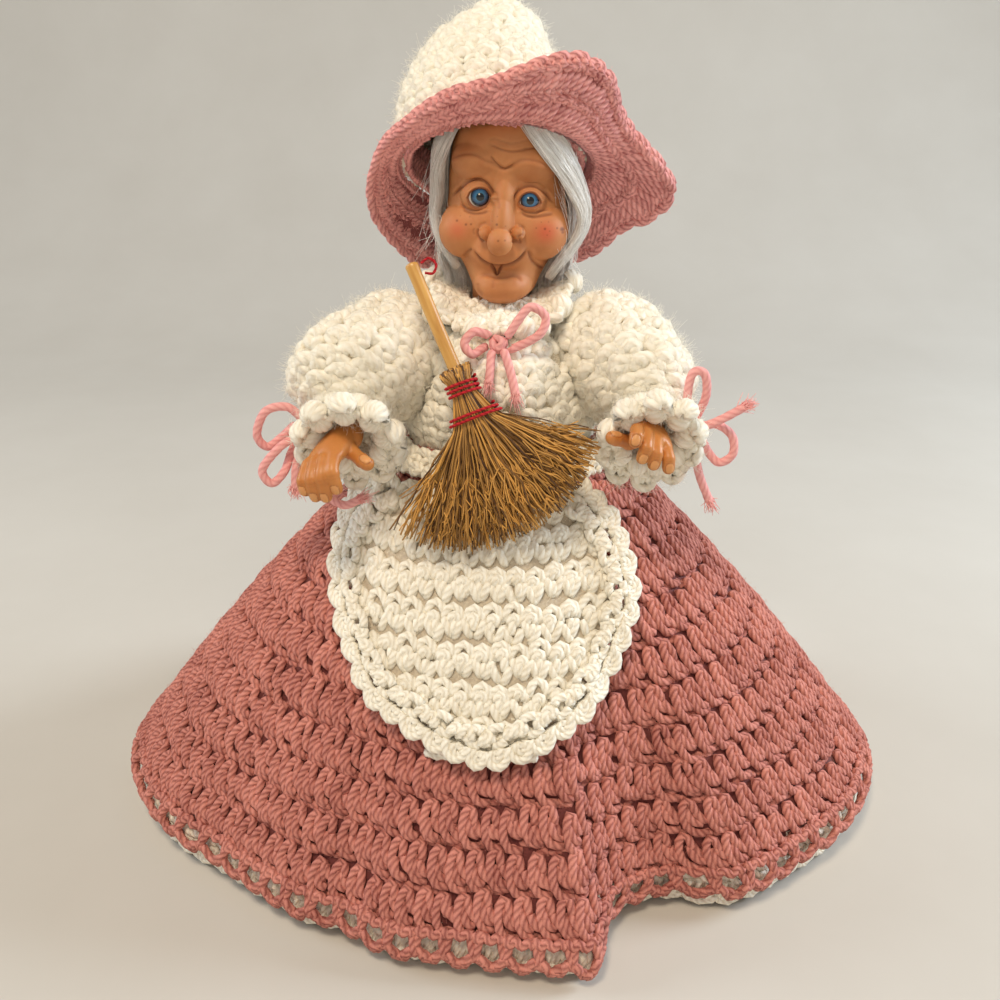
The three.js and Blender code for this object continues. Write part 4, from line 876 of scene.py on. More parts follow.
puffStitch = [  # a bobbly stitch of the fuzzy yarn
    [(0.00, 0.54, -0.6), (0.10, 0.26, 0.6), (0.50, 0.10, 1.2), (0.90, 0.26, 0.6), (1.00, 0.54, -0.6)],
    [(0.24, 0.62, -0.1), (0.34, 0.38, 1.0), (0.66, 0.38, 1.0), (0.76, 0.62, -0.1)],
    [(0.08, 0.56, 0.0), (0.22, 0.74, 0.6), (0.44, 0.94, 0.1)],
    [(0.92, 0.56, 0.0), (0.78, 0.74, 0.6), (0.56, 0.94, 0.1)],
]
bodiceRows = roundRows(bodicePlace, bodiceForm["rows"], bodiceForm["stitchWidth"], 0.0, 1.05)
bodiceStitches = stitchLines(bodicePlace, bodiceRows, puffStitch, 1.6, stations=6, jitter=0.08,
                             keep=clearOfSleeves, bulge=0.9)
bodiceKnit = stitchPiece("bodiceStitches", bodiceStitches, bodiceForm["yarnRadius"], creamYarn,
                         fuzz=(9000, 2.0))
bodiceGrid = clothGrid(bodicePlace, 96, (0.02, 0.99, 26), -1.5)
for side in (-1, 1):  # the cloth stops short of the sleeve balls
    bodiceGrid = outsideBall(bodiceGrid, shoulderAt(side), shoulders["puff"] + 1.6)
bodiceCloth = sheetPiece("bodiceCloth", bodiceGrid, bodiceGrid * (0.965, 0.965, 1.0), True, creamShadeCloth)
for piece in (bodiceCloth, bodiceKnit):
    replace(piece, "torso", "cream_yarn", "bodice")

# Collar ruffle: a lobed frill, crocheted on both faces
collarForm = {"hole": 11.5, "holeHeight": 187.2, "wall": 2.4, "front": 31, "side": 25, "frontHeight": 182.4,
              "sideHeight": 193, "wave": 1.3, "waves": 9, "puffs": 11, "yarnRadius": 1.45}


def collarPlace(drop=0.0):
    def place(u, v):  # v from 0 at the neck to 1 at the edge
        degrees = 360 * u
        turn = np.radians(degrees)
        front = smooth(np.cos(turn), 0.3, 1)
        wave = np.cos(turn * collarForm["waves"])
        reach = collarForm["side"] + (collarForm["front"] - collarForm["side"]) * front + wave
        edge = (collarForm["sideHeight"] + (collarForm["frontHeight"] - collarForm["sideHeight"]) * front
                + collarForm["wave"] * wave)
        radius = collarForm["hole"] + (reach - collarForm["hole"]) * v
        height = collarForm["holeHeight"] + (edge - collarForm["holeHeight"]) * v
        return ringPoint(degrees, radius, height - drop)
    return place


onCollar, underCollar = collarPlace(), collarPlace(collarForm["wall"])
collarRows = [(0.02, 0.5, 22, 0.2), (0.46, 1.02, 27, 0.5)]
collarLines = stitchLines(onCollar, collarRows, puffStitch, 1.0, stations=6, jitter=0.07)
collarLines += stitchLines(underCollar, collarRows, puffStitch, 1.0, sign=1, stations=6, jitter=0.07)
for k in range(collarForm["puffs"]):  # puffs round the edge
    u = np.array((k + 0.5) / collarForm["puffs"])
    p, normal = clothFrame(onCollar, u, np.array(0.84))
    collarLines.append(puffLines(p - normal * 0.8, unit(p * np.array((1, 1, 0)) * 0.06 + normal * 0.7),
                                 normal, 2.9))
collarKnit = stitchPiece("collarStitches", collarLines, collarForm["yarnRadius"], creamYarn, fuzz=(5000, 2.0))
collarCloth = clothPiece("collarCloth", onCollar, 144, (0.03, 0.9, 8), -0.8, -1.6, creamShadeCloth)
for piece in (collarCloth, collarKnit):
    replace(piece, "torso", "cream_yarn", "collar_ruffle")

# Sleeves: a puff from the shoulder to the gather at the wrist
armForm = {"wrist": (47, -33, 156), "gather": 9.5, "cuffPitch": 30, "forearmPitch": 21,
           "reach": {1: 61, -1: 67}, "swing": 1, "cuffLength": 14, "lobes": 8, "lobeDepth": 1.3,
           "cuffWall": 3, "cuffHalf": {1: (15.6, 18.5), -1: (16.5, 17)}, "rows": 8, "stitchWidth": 8.4,
           "yarnRadius": 2.1, "cuffPuffs": ((0.86, 10, 3.2), (0.42, 9, 2.4), (1.2, 9, 2.6))}  # along, count, size


def below(pitch):
    turn = math.radians(pitch)
    return np.array((0, -math.cos(turn), -math.sin(turn)))


def wristAt(side):
    x, y, z = armForm["wrist"]
    return np.array((side * x, y, z), float)


def sleeveSkeleton(side):  # rows of centre, radius and facing
    shoulder, wrist = shoulderAt(side), wristAt(side)
    bend = wrist - below(armForm["cuffPitch"]) * shoulders["puff"] / 2
    bulge = (armForm["reach"][side] - armForm["reach"][1]) / 2
    chord = unit(wrist - shoulder)
    rows = []
    for angle in np.radians((20, 42, 66)):
        centre = shoulder - chord * shoulders["puff"] * math.cos(angle)
        rows.append((centre, shoulders["puff"] * math.sin(angle), chord))
    profile = [(0, 20), (0.2, 19.7), (0.4, 18.8), (0.6, 16.9), (0.8, 13.7), (0.93, 10.8),
               (1, armForm["gather"])]
    for share, radius in profile:
        centre = shoulder * (1 - share) ** 2 + 2 * bend * share * (1 - share) + wrist * share**2
        lean = math.sin(math.pi * share)
        centre = centre + np.array((side * (armForm["swing"] + bulge) * lean, 0, 0))
        facing = unit(chord * (1 - share) + below(armForm["cuffPitch"]) * share)
        rows.append((centre, radius + bulge * lean, facing))
    return rows


def sleevePlace(side):
    rows = sleeveSkeleton(side)
    keys = np.linspace(0, 1, len(rows))
    table = np.array([[key, *centre, radius, *facing] for key, (centre, radius, facing) in zip(keys, rows)])

    def place(u, v):
        values = [valueAt(table, v, k) for k in range(1, 8)]
        centre = np.stack(values[:3], -1)
        facing = unit(np.stack(values[4:], -1))
        up = unit(np.array((0, 0, 1.0)) - facing * facing[..., 2:])
        right = unit(np.cross(facing, up))
        turn = 2 * np.pi * u * side
        puff = 1 + 0.035 * np.cos(turn * 7 + 6 * v) * np.sin(np.pi * v)
        radius = (values[3] * puff)[..., None]
        return centre + radius * (up * np.cos(turn)[..., None] - right * np.sin(turn)[..., None])
    return place


def cuffPlace(side):
    axis = below(armForm["cuffPitch"])
    up = np.array((0, axis[2], -axis[1]))
    halfWide, halfTall = armForm["cuffHalf"][side]
    start = 0.4  # from the wrist

    def place(u, v):  # v from 0 at the gather over the rim at 1 and back inside to 1.7
        share = np.where(v < 1, v, 2 - v)
        wall = armForm["cuffWall"] * smooth(v, 0.97, 1.08)
        flare = valueAt([(0, 0.08), (0.3, 0), (1, 1)], share)
        turn = 2 * np.pi * u * side
        lobe = armForm["lobeDepth"] * np.cos(turn * armForm["lobes"]) * flare
        wide = armForm["gather"] + (halfWide - armForm["gather"]) * flare - wall + lobe
        tall = armForm["gather"] + (halfTall - armForm["gather"]) * flare - wall + lobe
        centre = wristAt(side) + axis * (start + (armForm["cuffLength"] - start) * share)[..., None]
        aside = np.array((1.0, 0, 0)) * (wide * np.sin(turn))[..., None]
        return centre + aside + up * (tall * np.cos(turn))[..., None]
    return place


for side, arm in ((1, "left"), (-1, "right")):
    onSleeve, onCuff = sleevePlace(side), cuffPlace(side)
    rows = roundRows(onSleeve, armForm["rows"], armForm["stitchWidth"], 0.03, 1.0)
    lines = stitchLines(onSleeve, rows, puffStitch, 1.5, stations=6, jitter=0.09, sign=-side, bulge=1.1)
    inward = unit(wristAt(side) - shoulderAt(side))
    topPuff = shoulderAt(side) - inward * (shoulders["puff"] - 5.0)
    lines.append(puffLines(topPuff, -inward, np.array((0, 0, 1.0)), 5.4, 8))
    sleeveKnit = stitchPiece(arm + "SleeveStitches", lines, armForm["yarnRadius"], creamYarn,
                             fuzz=(10000, 2.4))
    core = clothGrid(onSleeve, 64, (0.0, 1.0, 28), -1.3, -side)
    core = np.concatenate([core[:1] * 0.1 + core[:1].mean(1, keepdims=True) * 0.9 - inward * 0.8, core])
    sleeveCore = sheetPiece(arm + "SleeveCloth", core, core + (core.mean(1, keepdims=True) - core) * 0.06,
                            True, creamShadeCloth)
    for piece in (sleeveKnit, sleeveCore):
        replace(piece, arm + "_arm", "cream_yarn", arm + "_sleeve")
    cuffRows = [(0.04, 0.5, 14, 0.1), (0.5, 1.02, 17, 0.4), (1.04, 1.5, 15, 0.2)]
    lines = stitchLines(onCuff, cuffRows, puffStitch, 1.2, stations=6, jitter=0.07, sign=-side)
    axis = below(armForm["cuffPitch"])
    for row, (v, count, size) in enumerate(armForm["cuffPuffs"]):
        for k in range(count):
            p, normal = clothFrame(onCuff, np.array((k + 0.5 * row) / count), np.array(v), -side)
            lines.append(puffLines(p + axis * (0.6 - row % 2), unit(normal + axis * 0.3), axis, size))
    cuffKnit = stitchPiece(arm + "CuffStitches", lines, 1.6, creamYarn, fuzz=(5000, 2.2))
    cuffCloth = clothPiece(arm + "CuffCloth", onCuff, 96, (0.02, 1.0, 8), -1.1, -1.9, creamShadeCloth, -side)
    for piece in (cuffKnit, cuffCloth):
        replace(piece, arm + "_arm", "cream_yarn", arm + "_cuff")
print("blouse crocheted")

# Hat on its leaning axis
hatForm = {
    "base": (-1.6, 5, 229.5), "lean": 30, "brimWall": 3.0, "tip": 57,
    "crown": [(0, 31.5, 0), (10, 31.2, -0.8), (20, 29, -1.8), (29, 25, -2.6), (38, 20, -2.4), (45, 15.5, 0.4),
              (50.5, 10.4, 1.5), (54.5, 5.5, 2), (57, 1.6, 2)],
    "brim": [(0, 41, 5.5), (30, 47, 13), (46, 47, 11.7), (60, 43.8, 7.5), (74, 45.7, 4.5), (88, 54.6, -1),
             (97, 59.3, -4.5), (106, 56.2, -8.5), (116, 49.2, -10), (132, 47, -14.5), (156, 46, -15),
             (180, 46, -13), (204, 44.6, -15.5), (220, 42.4, -18), (236, 41.2, -15), (258, 41.4, -9.5),
             (276, 39.7, -4.5), (296, 38.1, 0), (317, 37.3, 1.6), (342, 39.2, 4.3)],
    "rows": 10, "stitchWidth": 7.2, "yarnRadius": 1.9, "band": (29.2, 14),
}
hatTurn = math.radians(hatForm["lean"])
hatAxis = np.array((0, math.sin(hatTurn), math.cos(hatTurn)))
hatFront = np.array((0, -math.cos(hatTurn), math.sin(hatTurn)))


def hatPoint(degrees, radius, height, lean=0.0):
    turn = np.radians(degrees)
    x = (radius * np.sin(turn) + lean)[..., None] * np.array((1.0, 0, 0))
    return (np.array(hatForm["base"], float) + x + (radius * np.cos(turn))[..., None] * hatFront
            + np.asarray(height)[..., None] * hatAxis)


def crownPlace(u, v):  # v from 0 at the tip to 1 at the rim
    height = hatForm["tip"] * (1 - np.maximum(v, 0) ** 1.15)
    radius, lean = valueAt(hatForm["crown"], height, 1), valueAt(hatForm["crown"], height, 2)
    return hatPoint(360 * u, radius, height, lean)


def brimPlace(drop=0.0):
    def place(u, v):  # v from 0 at the crown to 1 at the edge
        degrees = 360 * u
        reach = valueAt(hatForm["brim"], degrees, 1, True)
        lift = valueAt(hatForm["brim"], degrees, 2, True)
        seat = hatForm["crown"][0][1] + 0.3
        radius = seat + (reach - seat) * v
        height = lift * np.maximum(v, 0) ** 1.2 - 0.3 - drop
        return hatPoint(degrees, radius, height)
    return place


crownRows = roundRows(crownPlace, hatForm["rows"], hatForm["stitchWidth"], 0.04, 1.0)
crownLines = stitchLines(crownPlace, crownRows, puffStitch, 1.5, stations=6, jitter=0.06, bulge=0.8)
crownKnit = stitchPiece("hatCrownStitches", crownLines, hatForm["yarnRadius"], creamYarn, fuzz=(12000, 2.2))
crownCloth = clothPiece("hatCrownCloth", crownPlace, 96, (0.0, 1.0, 30), -1.4, -2.4, creamShadeCloth)
for piece in (crownKnit, crownCloth):
    replace(piece, "hat", "cream_yarn", "hat_crown")

overBrim, underBrim = brimPlace(), brimPlace(hatForm["brimWall"])
brimLegs = [
    [(0.02 + k / 3, 0.00, -0.3), (0.18 + k / 3, 0.32, 0.6), (0.34 + k / 3, 0.68, 0.6),
     (0.50 + k / 3, 1.00, -0.2)]
    for k in range(3)
]
rimChain = [
    [(0.00, 0.20, 0.2), (0.30, 0.80, 0.5), (0.62, 0.86, 0.4), (0.80, 0.30, -0.2)],
    [(0.46, 0.30, -0.2), (0.60, 0.86, 0.4), (0.92, 0.86, 0.5), (1.16, 0.20, 0.0)],
]
brimLines = []
for brimSide, sign in ((overBrim, -1), (underBrim, 1)):
    brimLines += stitchLines(brimSide, [(0.02, 0.50, 37, 0.2), (0.50, 0.97, 47, 0.5)], brimLegs,
                             1.2, sign, 6, 0.03, bulge=0.8)
    brimLines += stitchLines(brimSide, [(0.90, 1.02, 47, 0.5), (0.44, 0.56, 42, 0.2)], rimChain,
                             1.1, sign, 6, 0.03)


def firstRound(u, v):  # the brim's first round, worked up inside the crown
    return hatPoint(360 * u, hatForm["band"][0] + 0 * v, hatForm["band"][1] * v - 1.5)


brimLines += stitchLines(firstRound, [(0.0, 0.5, 30, 0.2), (0.5, 1.0, 30, 0.6)], brimLegs, 1.0, 1, 6, 0.03)
brimKnit = stitchPiece("hatBrimStitches", brimLines, 1.45, hatPink, fuzz=(9000, 1.6))
brimCloth = clothPiece("hatBrimCloth", overBrim, 160, (-0.1, 0.94, 10), -1.0, -2.0, hatShadeCloth)
for piece in (brimKnit, brimCloth):
    replace(piece, "hat", "pink_yarn", "hat_brim")
print("hat crocheted")

# Head of painted vinyl, sculpted in its own frame before it turns
headForm = {
    "yaw": -5, "shift": 1.6, "roll": 1, "bottom": 188.5, "neckRadius": 9.3, "neckBottom": 180,
    "rings": [  # height, half width, front depth, back depth
        (188.5, 8, 17.5, 9.5), (190.5, 10, 20, 11), (194, 11.5, 20.5, 12.5), (198, 13.5, 20, 15),
        (203, 16.5, 20, 18), (209, 19.3, 20, 20), (214, 20, 19.5, 21.5), (220, 19, 17.8, 22),
        (227, 18.7, 18.5, 22.5), (234, 17.9, 19.3, 22.3),
        (240, 16.5, 19.4, 21.5), (245, 14.5, 16.5, 19), (249, 11, 11.5, 14), (251.5, 5, 5, 7),
    ],
    "hollows": [  # across, height, depth, width, tall
        (7.7, 221, 2.0, 4.6, 4.0), (-7.7, 221.4, 2.0, 4.6, 4.0), (0, 198.4, 1.7, 8, 2.0),
        (11.5, 199.5, 1.2, 3.5, 4.5), (-11.5, 199.5, 1.2, 3.5, 4.5), (0, 237, -0.7, 10, 4),
    ],
    "swellings": [  # centre, radii, blend
        ((12.2, -9.0, 209.2), (8.4, 8.3, 8.2), 5.0), ((-12.4, -9.0, 209.6), (8.4, 8.3, 8.2), 5.0),  # cheeks
        ((0, -13.0, 204.6), (9.6, 7.9, 6.0), 3.2),  # lip
        ((0.3, -12.9, 193.0), (8.8, 9.2, 5.3), 3.0),  # chin
        ((7.4, -10.6, 230.6), (8.0, 8.0, 5.4), 4.5), ((-8.0, -10.6, 231.4), (7.8, 8.0, 5.4), 4.5),  # brow
        ((0.7, -12.7, 233.6), (5.4, 6.8, 5.2), 3.5),  # between the brows
        ((7.7, -13.0, 220.3), (5.75, 5.55, 5.35), 1.4), ((-7.7, -13.0, 221.3), (5.75, 5.55, 5.35), 1.4),  # lids
        ((1.0, -13.2, 223.5), (3.3, 6.6, 8.5), 3.4), ((0.7, -15.2, 218.0), (3.1, 6.9, 8.5), 3.2),  # bridge
        ((0.3, -17.8, 212.8), (3.4, 6.7, 8.0), 3.2),
        ((0, -22.8, 208.0), (3.95, 5.0, 4.2), 3.4),  # tip
        ((-4.9, -19.8, 210.3), (2.3, 3.2, 2.3), 1.6), ((5.4, -19.8, 210.5), (2.3, 3.2, 2.3), 1.6),  # wings
    ],
    "eyeRadius": 4.6, "eyes": {"left": (7.7, -13.3, 220.1), "right": (-7.7, -13.3, 221.1)},
}
# Where the face's lines were read: an enlargement of the camera's view, by its corner and its scale, and the
# view's own middle and focal length in the same units
drawing = {"corner": (420, 110), "scale": 7.467, "middle": 500, "focal": 1000}


def turned(points, degrees):
    c, s = math.cos(math.radians(degrees)), math.sin(math.radians(degrees))
    x, y, z = points[..., 0], points[..., 1], points[..., 2]
    return np.stack([x * c - y * s, x * s + y * c, z], -1)


def alongHead(points):  # from round an upright middle line to round the head's own, which leans a little
    over = np.maximum(points[..., 2] - headForm["bottom"], 0)
    centre = headForm["shift"] + math.tan(math.radians(headForm["roll"])) * over
    return points + centre[..., None] * (1.0, 0, 0)


def fromHead(points):  # the head's own frame, across from its middle line, to the doll's frame
    return turned(alongHead(points), headForm["yaw"])


def drawn(points):  # where the camera sees points, on the enlargement
    pitch = math.radians(cameraView["pitch"])
    off = points - np.array(cameraView["place"], float)
    ahead = off[..., 1] * math.cos(pitch) - off[..., 2] * math.sin(pitch)
    above = off[..., 1] * math.sin(pitch) + off[..., 2] * math.cos(pitch)
    seen = np.stack([drawing["middle"] + drawing["focal"] * off[..., 0] / ahead,
                     drawing["middle"] - drawing["focal"] * above / ahead], -1)
    return (seen - np.array(drawing["corner"])) * drawing["scale"]


def rayThrough(spot):  # from the camera through a spot of the drawing
    x, y = np.array(spot, float) / drawing["scale"] + drawing["corner"]
    pitch = math.radians(cameraView["pitch"])
    above = (drawing["middle"] - y) / drawing["focal"]
    return unit(np.array(((x - drawing["middle"]) / drawing["focal"],
                          math.cos(pitch) + above * math.sin(pitch),
                          -math.sin(pitch) + above * math.cos(pitch))))


def swellingReach(degrees, height, centre, radii):  # how far out an ellipsoid reaches from the head's axis
    way = np.stack([np.sin(np.radians(degrees)), -np.cos(np.radians(degrees))], -1)
    flat, tall = np.array(radii[:2], float), (height - centre[2]) / radii[2]
    a = ((way / flat) ** 2).sum(-1)
    b = (way * np.array(centre[:2]) / flat**2).sum(-1)
    c = ((np.array(centre[:2]) / flat) ** 2).sum() - 1 + tall**2
    inside = b * b - a * c
    reach = (b + np.where(inside > 0, 1, -3) * np.sqrt(np.abs(inside))) / a
    return np.where(b > 0, reach, 0)


def blended(a, b, width):  # smooth greater of two
    near = np.maximum(width - np.abs(a - b), 0) / width
    return np.maximum(a, b) + near * near * width / 4


def headSurface(degrees, height):
    sizes = [valueAt(headForm["rings"], height, k) for k in (1, 2, 3)]
    points = ovalPoint(degrees, *sizes, height)
    facing = smooth(np.cos(np.radians(degrees)), 0, 0.5)
    for across, tall, depth, width, high in headForm["hollows"]:
        points[..., 1] += depth * facing * np.exp(-((points[..., 0] - across) / width) ** 2
                                                  - ((height - tall) / high) ** 2)
    reach = np.linalg.norm(points[..., :2], axis=-1)
    way = np.arctan2(points[..., 0], -points[..., 1])
    for centre, radii, blend in headForm["swellings"]:
        reach = blended(reach, swellingReach(np.degrees(way), height, centre, radii), blend)
    return np.stack([reach * np.sin(way), -reach * np.cos(way), points[..., 2]], -1)


# Distance on the drawing to a line of points, signed by side, and the share of its length
def lineField(seen, line):
    line = np.array(line, float)
    best = np.full(len(seen), 1e9)
    signed, share = np.zeros(len(seen)), np.zeros(len(seen))
    lengths = np.linalg.norm(np.diff(line, axis=0), axis=1)
    before = np.concatenate([[0], np.cumsum(lengths)])
    for k in range(len(line) - 1):
        step = line[k + 1] - line[k]
        off = seen - line[k]
        t = np.clip((off @ step) / (step @ step), 0, 1)
        away = off - t[:, None] * step
        distance = np.linalg.norm(away, axis=1)
        nearer = distance < best
        best = np.where(nearer, distance, best)
        side = np.sign(step[0] * off[:, 1] - step[1] * off[:, 0])
        signed = np.where(nearer, distance * side, signed)
        share = np.where(nearer, (before[k] + t * lengths[k]) / before[-1], share)
    return best, signed, share


# Face lines on the drawing: points, depth in millimetres, width on the drawing, and the fold that swells
# beside it: height in millimetres, how far off and how wide; a fold above the line has a negative offset
faceLines = [
    # lid folds
    ([(232, 648), (300, 588), (352, 540), (405, 517), (452, 516), (500, 545), (540, 598), (562, 655)],
     0.55, 9, 0.35, -26, 22),
    ([(703, 695), (712, 635), (755, 585), (820, 566), (882, 580), (935, 622), (978, 675), (1015, 702)],
     0.55, 9, 0.35, -26, 22),
    # bags
    ([(292, 690), (345, 735), (415, 752), (480, 742), (525, 712)], 0.35, 8, 0.22, 20, 14),
    ([(316, 742), (395, 774), (465, 771), (515, 752)], 0.42, 10, 0.2, -20, 14),
    ([(738, 726), (785, 758), (850, 768), (915, 752), (962, 742)], 0.35, 8, 0.22, 20, 14),
    ([(745, 752), (792, 790), (852, 800), (925, 788), (1010, 772)], 0.42, 10, 0.2, -20, 14),
    ([(565, 660), (590, 700), (585, 745)], 0.2, 14, 0, 0, 1),
    # brow, with a point between the eyes
    ([(195, 400), (262, 348), (350, 327), (425, 340), (490, 378), (548, 398), (596, 424), (632, 436),
      (672, 424), (716, 396), (770, 372), (850, 378), (930, 405), (1010, 470)], 0.22, 13, 0.3, 30, 26),
    ([(520, 335), (556, 385), (598, 424), (632, 437), (668, 424), (712, 396)], 0.38, 9, 0.3, -24, 20),
    # forehead
    ([(500, 236), (556, 215), (612, 232), (676, 252), (738, 242), (800, 226), (866, 222), (926, 240)],
     0.2, 8, 0.15, -16, 14),
    ([(496, 250), (556, 272), (612, 297), (680, 312), (740, 306), (800, 290), (862, 284), (912, 292),
      (968, 318)], 0.3, 9, 0.22, -20, 16),
    # nostrils and wings
    ([(438, 880), (428, 920), (445, 958), (486, 985)], 0.4, 9, 0.12, -14, 12),
    ([(722, 862), (765, 872), (776, 912), (762, 950)], 0.4, 9, 0.12, 14, 12),
    ([(762, 925), (735, 950), (748, 984), (700, 978), (690, 1000)], 0.3, 10, 0, 0, 1),
    ([(500, 838), (455, 855), (437, 884)], 0.16, 10, 0, 0, 1),
    # smile
    ([(392, 1030), (418, 1078), (468, 1127), (530, 1158), (602, 1166), (682, 1150), (744, 1110), (788, 1056),
      (803, 1018)], 0.85, 12, 0.35, -26, 24),
    ([(806, 1040), (832, 1112), (876, 1158), (935, 1184)], 0.45, 12, 0.25, -26, 22),
    ([(392, 1035), (352, 1062), (326, 1100)], 0.3, 13, 0, 0, 1),
    ([(408, 880), (400, 910), (412, 935)], 0.15, 9, 0, 0, 1),
    # over the chin
    ([(432, 1250), (480, 1232), (530, 1238), (578, 1252), (640, 1246), (690, 1236), (735, 1250), (770, 1290)],
     0.35, 16, 0.25, 34, 26),
    ([(545, 1262), (548, 1300), (546, 1335)], 0.16, 14, 0, 0, 1),
    ([(425, 1290), (440, 1350), (470, 1390)], 0.2, 16, 0, 0, 1),
]
eyeOpenings = {
    "right": [(350, 658), (368, 618), (402, 590), (450, 579), (496, 589), (528, 622), (546, 658), (536, 690),
              (505, 716), (455, 731), (404, 724), (368, 698)],
    "left": [(737, 692), (750, 652), (780, 624), (824, 613), (864, 624), (892, 656), (908, 692), (890, 714),
             (860, 727), (816, 732), (774, 724), (748, 710)],
}
freckles = [  # place on the drawing, size and strength
    (276, 826, 9, 0.8), (343, 855, 9, 0.8), (381, 853, 8, 0.8), (372, 797, 7, 0.35), (302, 790, 6, 0.3),
    (574, 856, 9, 0.8), (577, 795, 6, 0.4), (640, 868, 6, 0.4), (583, 978, 8, 0.8), (634, 975, 8, 0.6),
    (868, 882, 7, 0.5), (933, 888, 9, 0.8), (906, 838, 6, 0.4), (960, 836, 6, 0.4), (1024, 882, 8, 0.7),
    (1062, 890, 17, 0.9), (1066, 912, 12, 0.7), (968, 905, 6, 0.5), (950, 935, 6, 0.4), (541, 830, 5, 0.3),
]
blushes = [(282, 893, 66, 0.55), (940, 915, 82, 0.8)]


def insideOpening(seen, outline):  # signed distance on the drawing, less than nothing inside
    outline = spline(outline + outline[:1], 90)[:, :2]
    best, signed, share = lineField(seen, outline)
    centre = outline.mean(0)
    turn = np.arctan2(seen[:, 1] - centre[1], seen[:, 0] - centre[0])
    edgeTurn = np.arctan2(outline[:, 1] - centre[1], outline[:, 0] - centre[0])
    order = np.argsort(edgeTurn)
    reach = np.interp(turn, edgeTurn[order], np.linalg.norm(outline - centre, axis=1)[order],
                      period=2 * np.pi)
    return np.where(np.linalg.norm(seen - centre, axis=1) < reach, -best, best)


def stepped(rows):  # stations with (from, to, step) in each stretch
    return np.concatenate([np.arange(low, high, step) for low, high, step in rows])


headAngles = stepped([(-180, -90, 3), (-90, -62, 0.9), (-62, 62, 0.46), (62, 90, 0.9), (90, 180, 3)])
headHeights = np.concatenate([stepped([(188.5, 236, 0.17), (236, 251.5, 0.45)]), [251.5]])
turns, levels = np.meshgrid(headAngles, headHeights)
skull = headSurface(turns, levels)
around, down = np.roll(skull, -1, 1) - np.roll(skull, 1, 1), np.gradient(skull, axis=0)
outwards = unit(np.cross(around, down))
for _ in range(6):
    outwards = unit(outwards + np.roll(outwards, 1, 1) + np.roll(outwards, -1, 1))
seen = drawn(fromHead(skull)).reshape(-1, 2)
front = smooth(np.cos(np.radians(turns)), 0.05, 0.35).ravel()
lift, creaseShade = np.zeros(len(seen)), np.zeros(len(seen))
for line, depth, width, fold, offset, foldWidth in faceLines:
    line = spline(line, 8 * len(line))[:, :2]
    distance, signed, share = lineField(seen, line)
    fade = smooth(share, 0, 0.14) * (1 - smooth(share, 0.86, 1))
    groove = np.exp(-((distance / width) ** 2)) * fade
    lift -= depth * groove
    # each groove is also darkened as painted shade in the fold
    creaseShade = np.maximum(creaseShade, groove * min(depth * 1.6, 1))
    if fold:
        lift += fold * fade * np.exp(-(((signed - offset) / foldWidth) ** 2))
flatPoints = (skull + outwards * (lift * front).reshape(turns.shape)[..., None]).reshape(-1, 3)
for side, outline in eyeOpenings.items():  # the lids' edges stand off the eye, and the skin drops behind it
    edge = insideOpening(seen, outline) * 0.0415
    eye = np.array(headForm["eyes"][side])
    off = flatPoints - eye
    away = np.linalg.norm(off, axis=1)
    close = (away < 9) & (front > 0)
    rim = headForm["eyeRadius"] + 0.55 + 0.25 * np.exp(-((edge - 0.35) / 0.3) ** 2)
    lidShare = (1 - smooth(edge, 0.4, 1.3)) * close
    target = eye + off / away[:, None] * rim[:, None]
    flatPoints = flatPoints + (target - flatPoints) * lidShare[:, None]
    dropShare = (1 - smooth(edge, -0.12, 0.1)) * close
    sunk = eye + (flatPoints - eye) * 0.72
    flatPoints = flatPoints + (sunk - flatPoints) * dropShare[:, None]
    # a dark line along the lid's edge: painted shade where the lid meets the eye
    creaseShade = np.maximum(creaseShade, np.exp(-((edge / 0.28) ** 2)) * close)
mouth = [(528, 1168), (552, 1194), (575, 1222), (597, 1194), (617, 1168)]
distance, signed, share = lineField(seen, spline(mouth, 30)[:, :2])
x, y = seen.T
above = (np.abs(x - 573) < 46 - (y - 1166) * 0.8) & (y > 1164) & (y < 1222)
gape = np.exp(-((distance / 9) ** 2)) * 0.7 + above * 0.35
flatPoints = flatPoints + outwards.reshape(-1, 3) * (-gape * front)[:, None]
# painted shade in the open mouth
creaseShade = np.maximum(creaseShade, np.exp(-((distance / 10) ** 2)))
rows, columns = turns.shape
belowChin = [flatPoints[:columns] * (s, s, 0) + (0, 0, z) for s, z in ((0.75, 187.4), (0.93, 187.9))]
aboveTop = [flatPoints[-columns:] * (s, s, 0) + (0, 0, z) for s, z in ((0.6, 252), (0.2, 252.2))]
skin = np.concatenate([*belowChin, flatPoints, *aboveTop])
seenSkin = drawn(fromHead(skin))
headPiece = meshPiece("headSkin", fromHead(skin), *tubeFaces(rows + 4, columns))
addedRows = np.zeros(2 * columns)
frontSkin = np.concatenate([addedRows, front, addedRows])
addValues(headPiece.data, "creaseShade", np.concatenate([addedRows, creaseShade * front, addedRows]))
for label, spots, power in (("freckle", freckles, 1.6), ("blush", blushes, 1)):
    mask = np.zeros(len(skin))
    for x, y, size, strength in spots:
        share = ((seenSkin - (x, y)) ** 2).sum(1) / size**2
        mask = np.maximum(mask, strength * np.exp(-(share**power)))
    addValues(headPiece.data, label, mask * frontSkin)
faceVinyl = vinylMaterial("faceVinyl", {
    "roughness": 0.56, "specular": 0.35, "subsurface": (0.18, 0.0016), "reach": (1.0, 0.35, 0.18),
    "speckle": 140.0, "low": (184, 117, 70), "high": (202, 139, 88),
    # the crease mask is painted shade: darker skin in grooves, along the lids and in the mouth
    "masks": {"blush": (0.75, (208, 74, 58)), "creaseShade": (0.7, (104, 48, 30)),
              "freckle": (0.85, (92, 44, 26))},
})
headPiece.data.materials.append(faceVinyl)

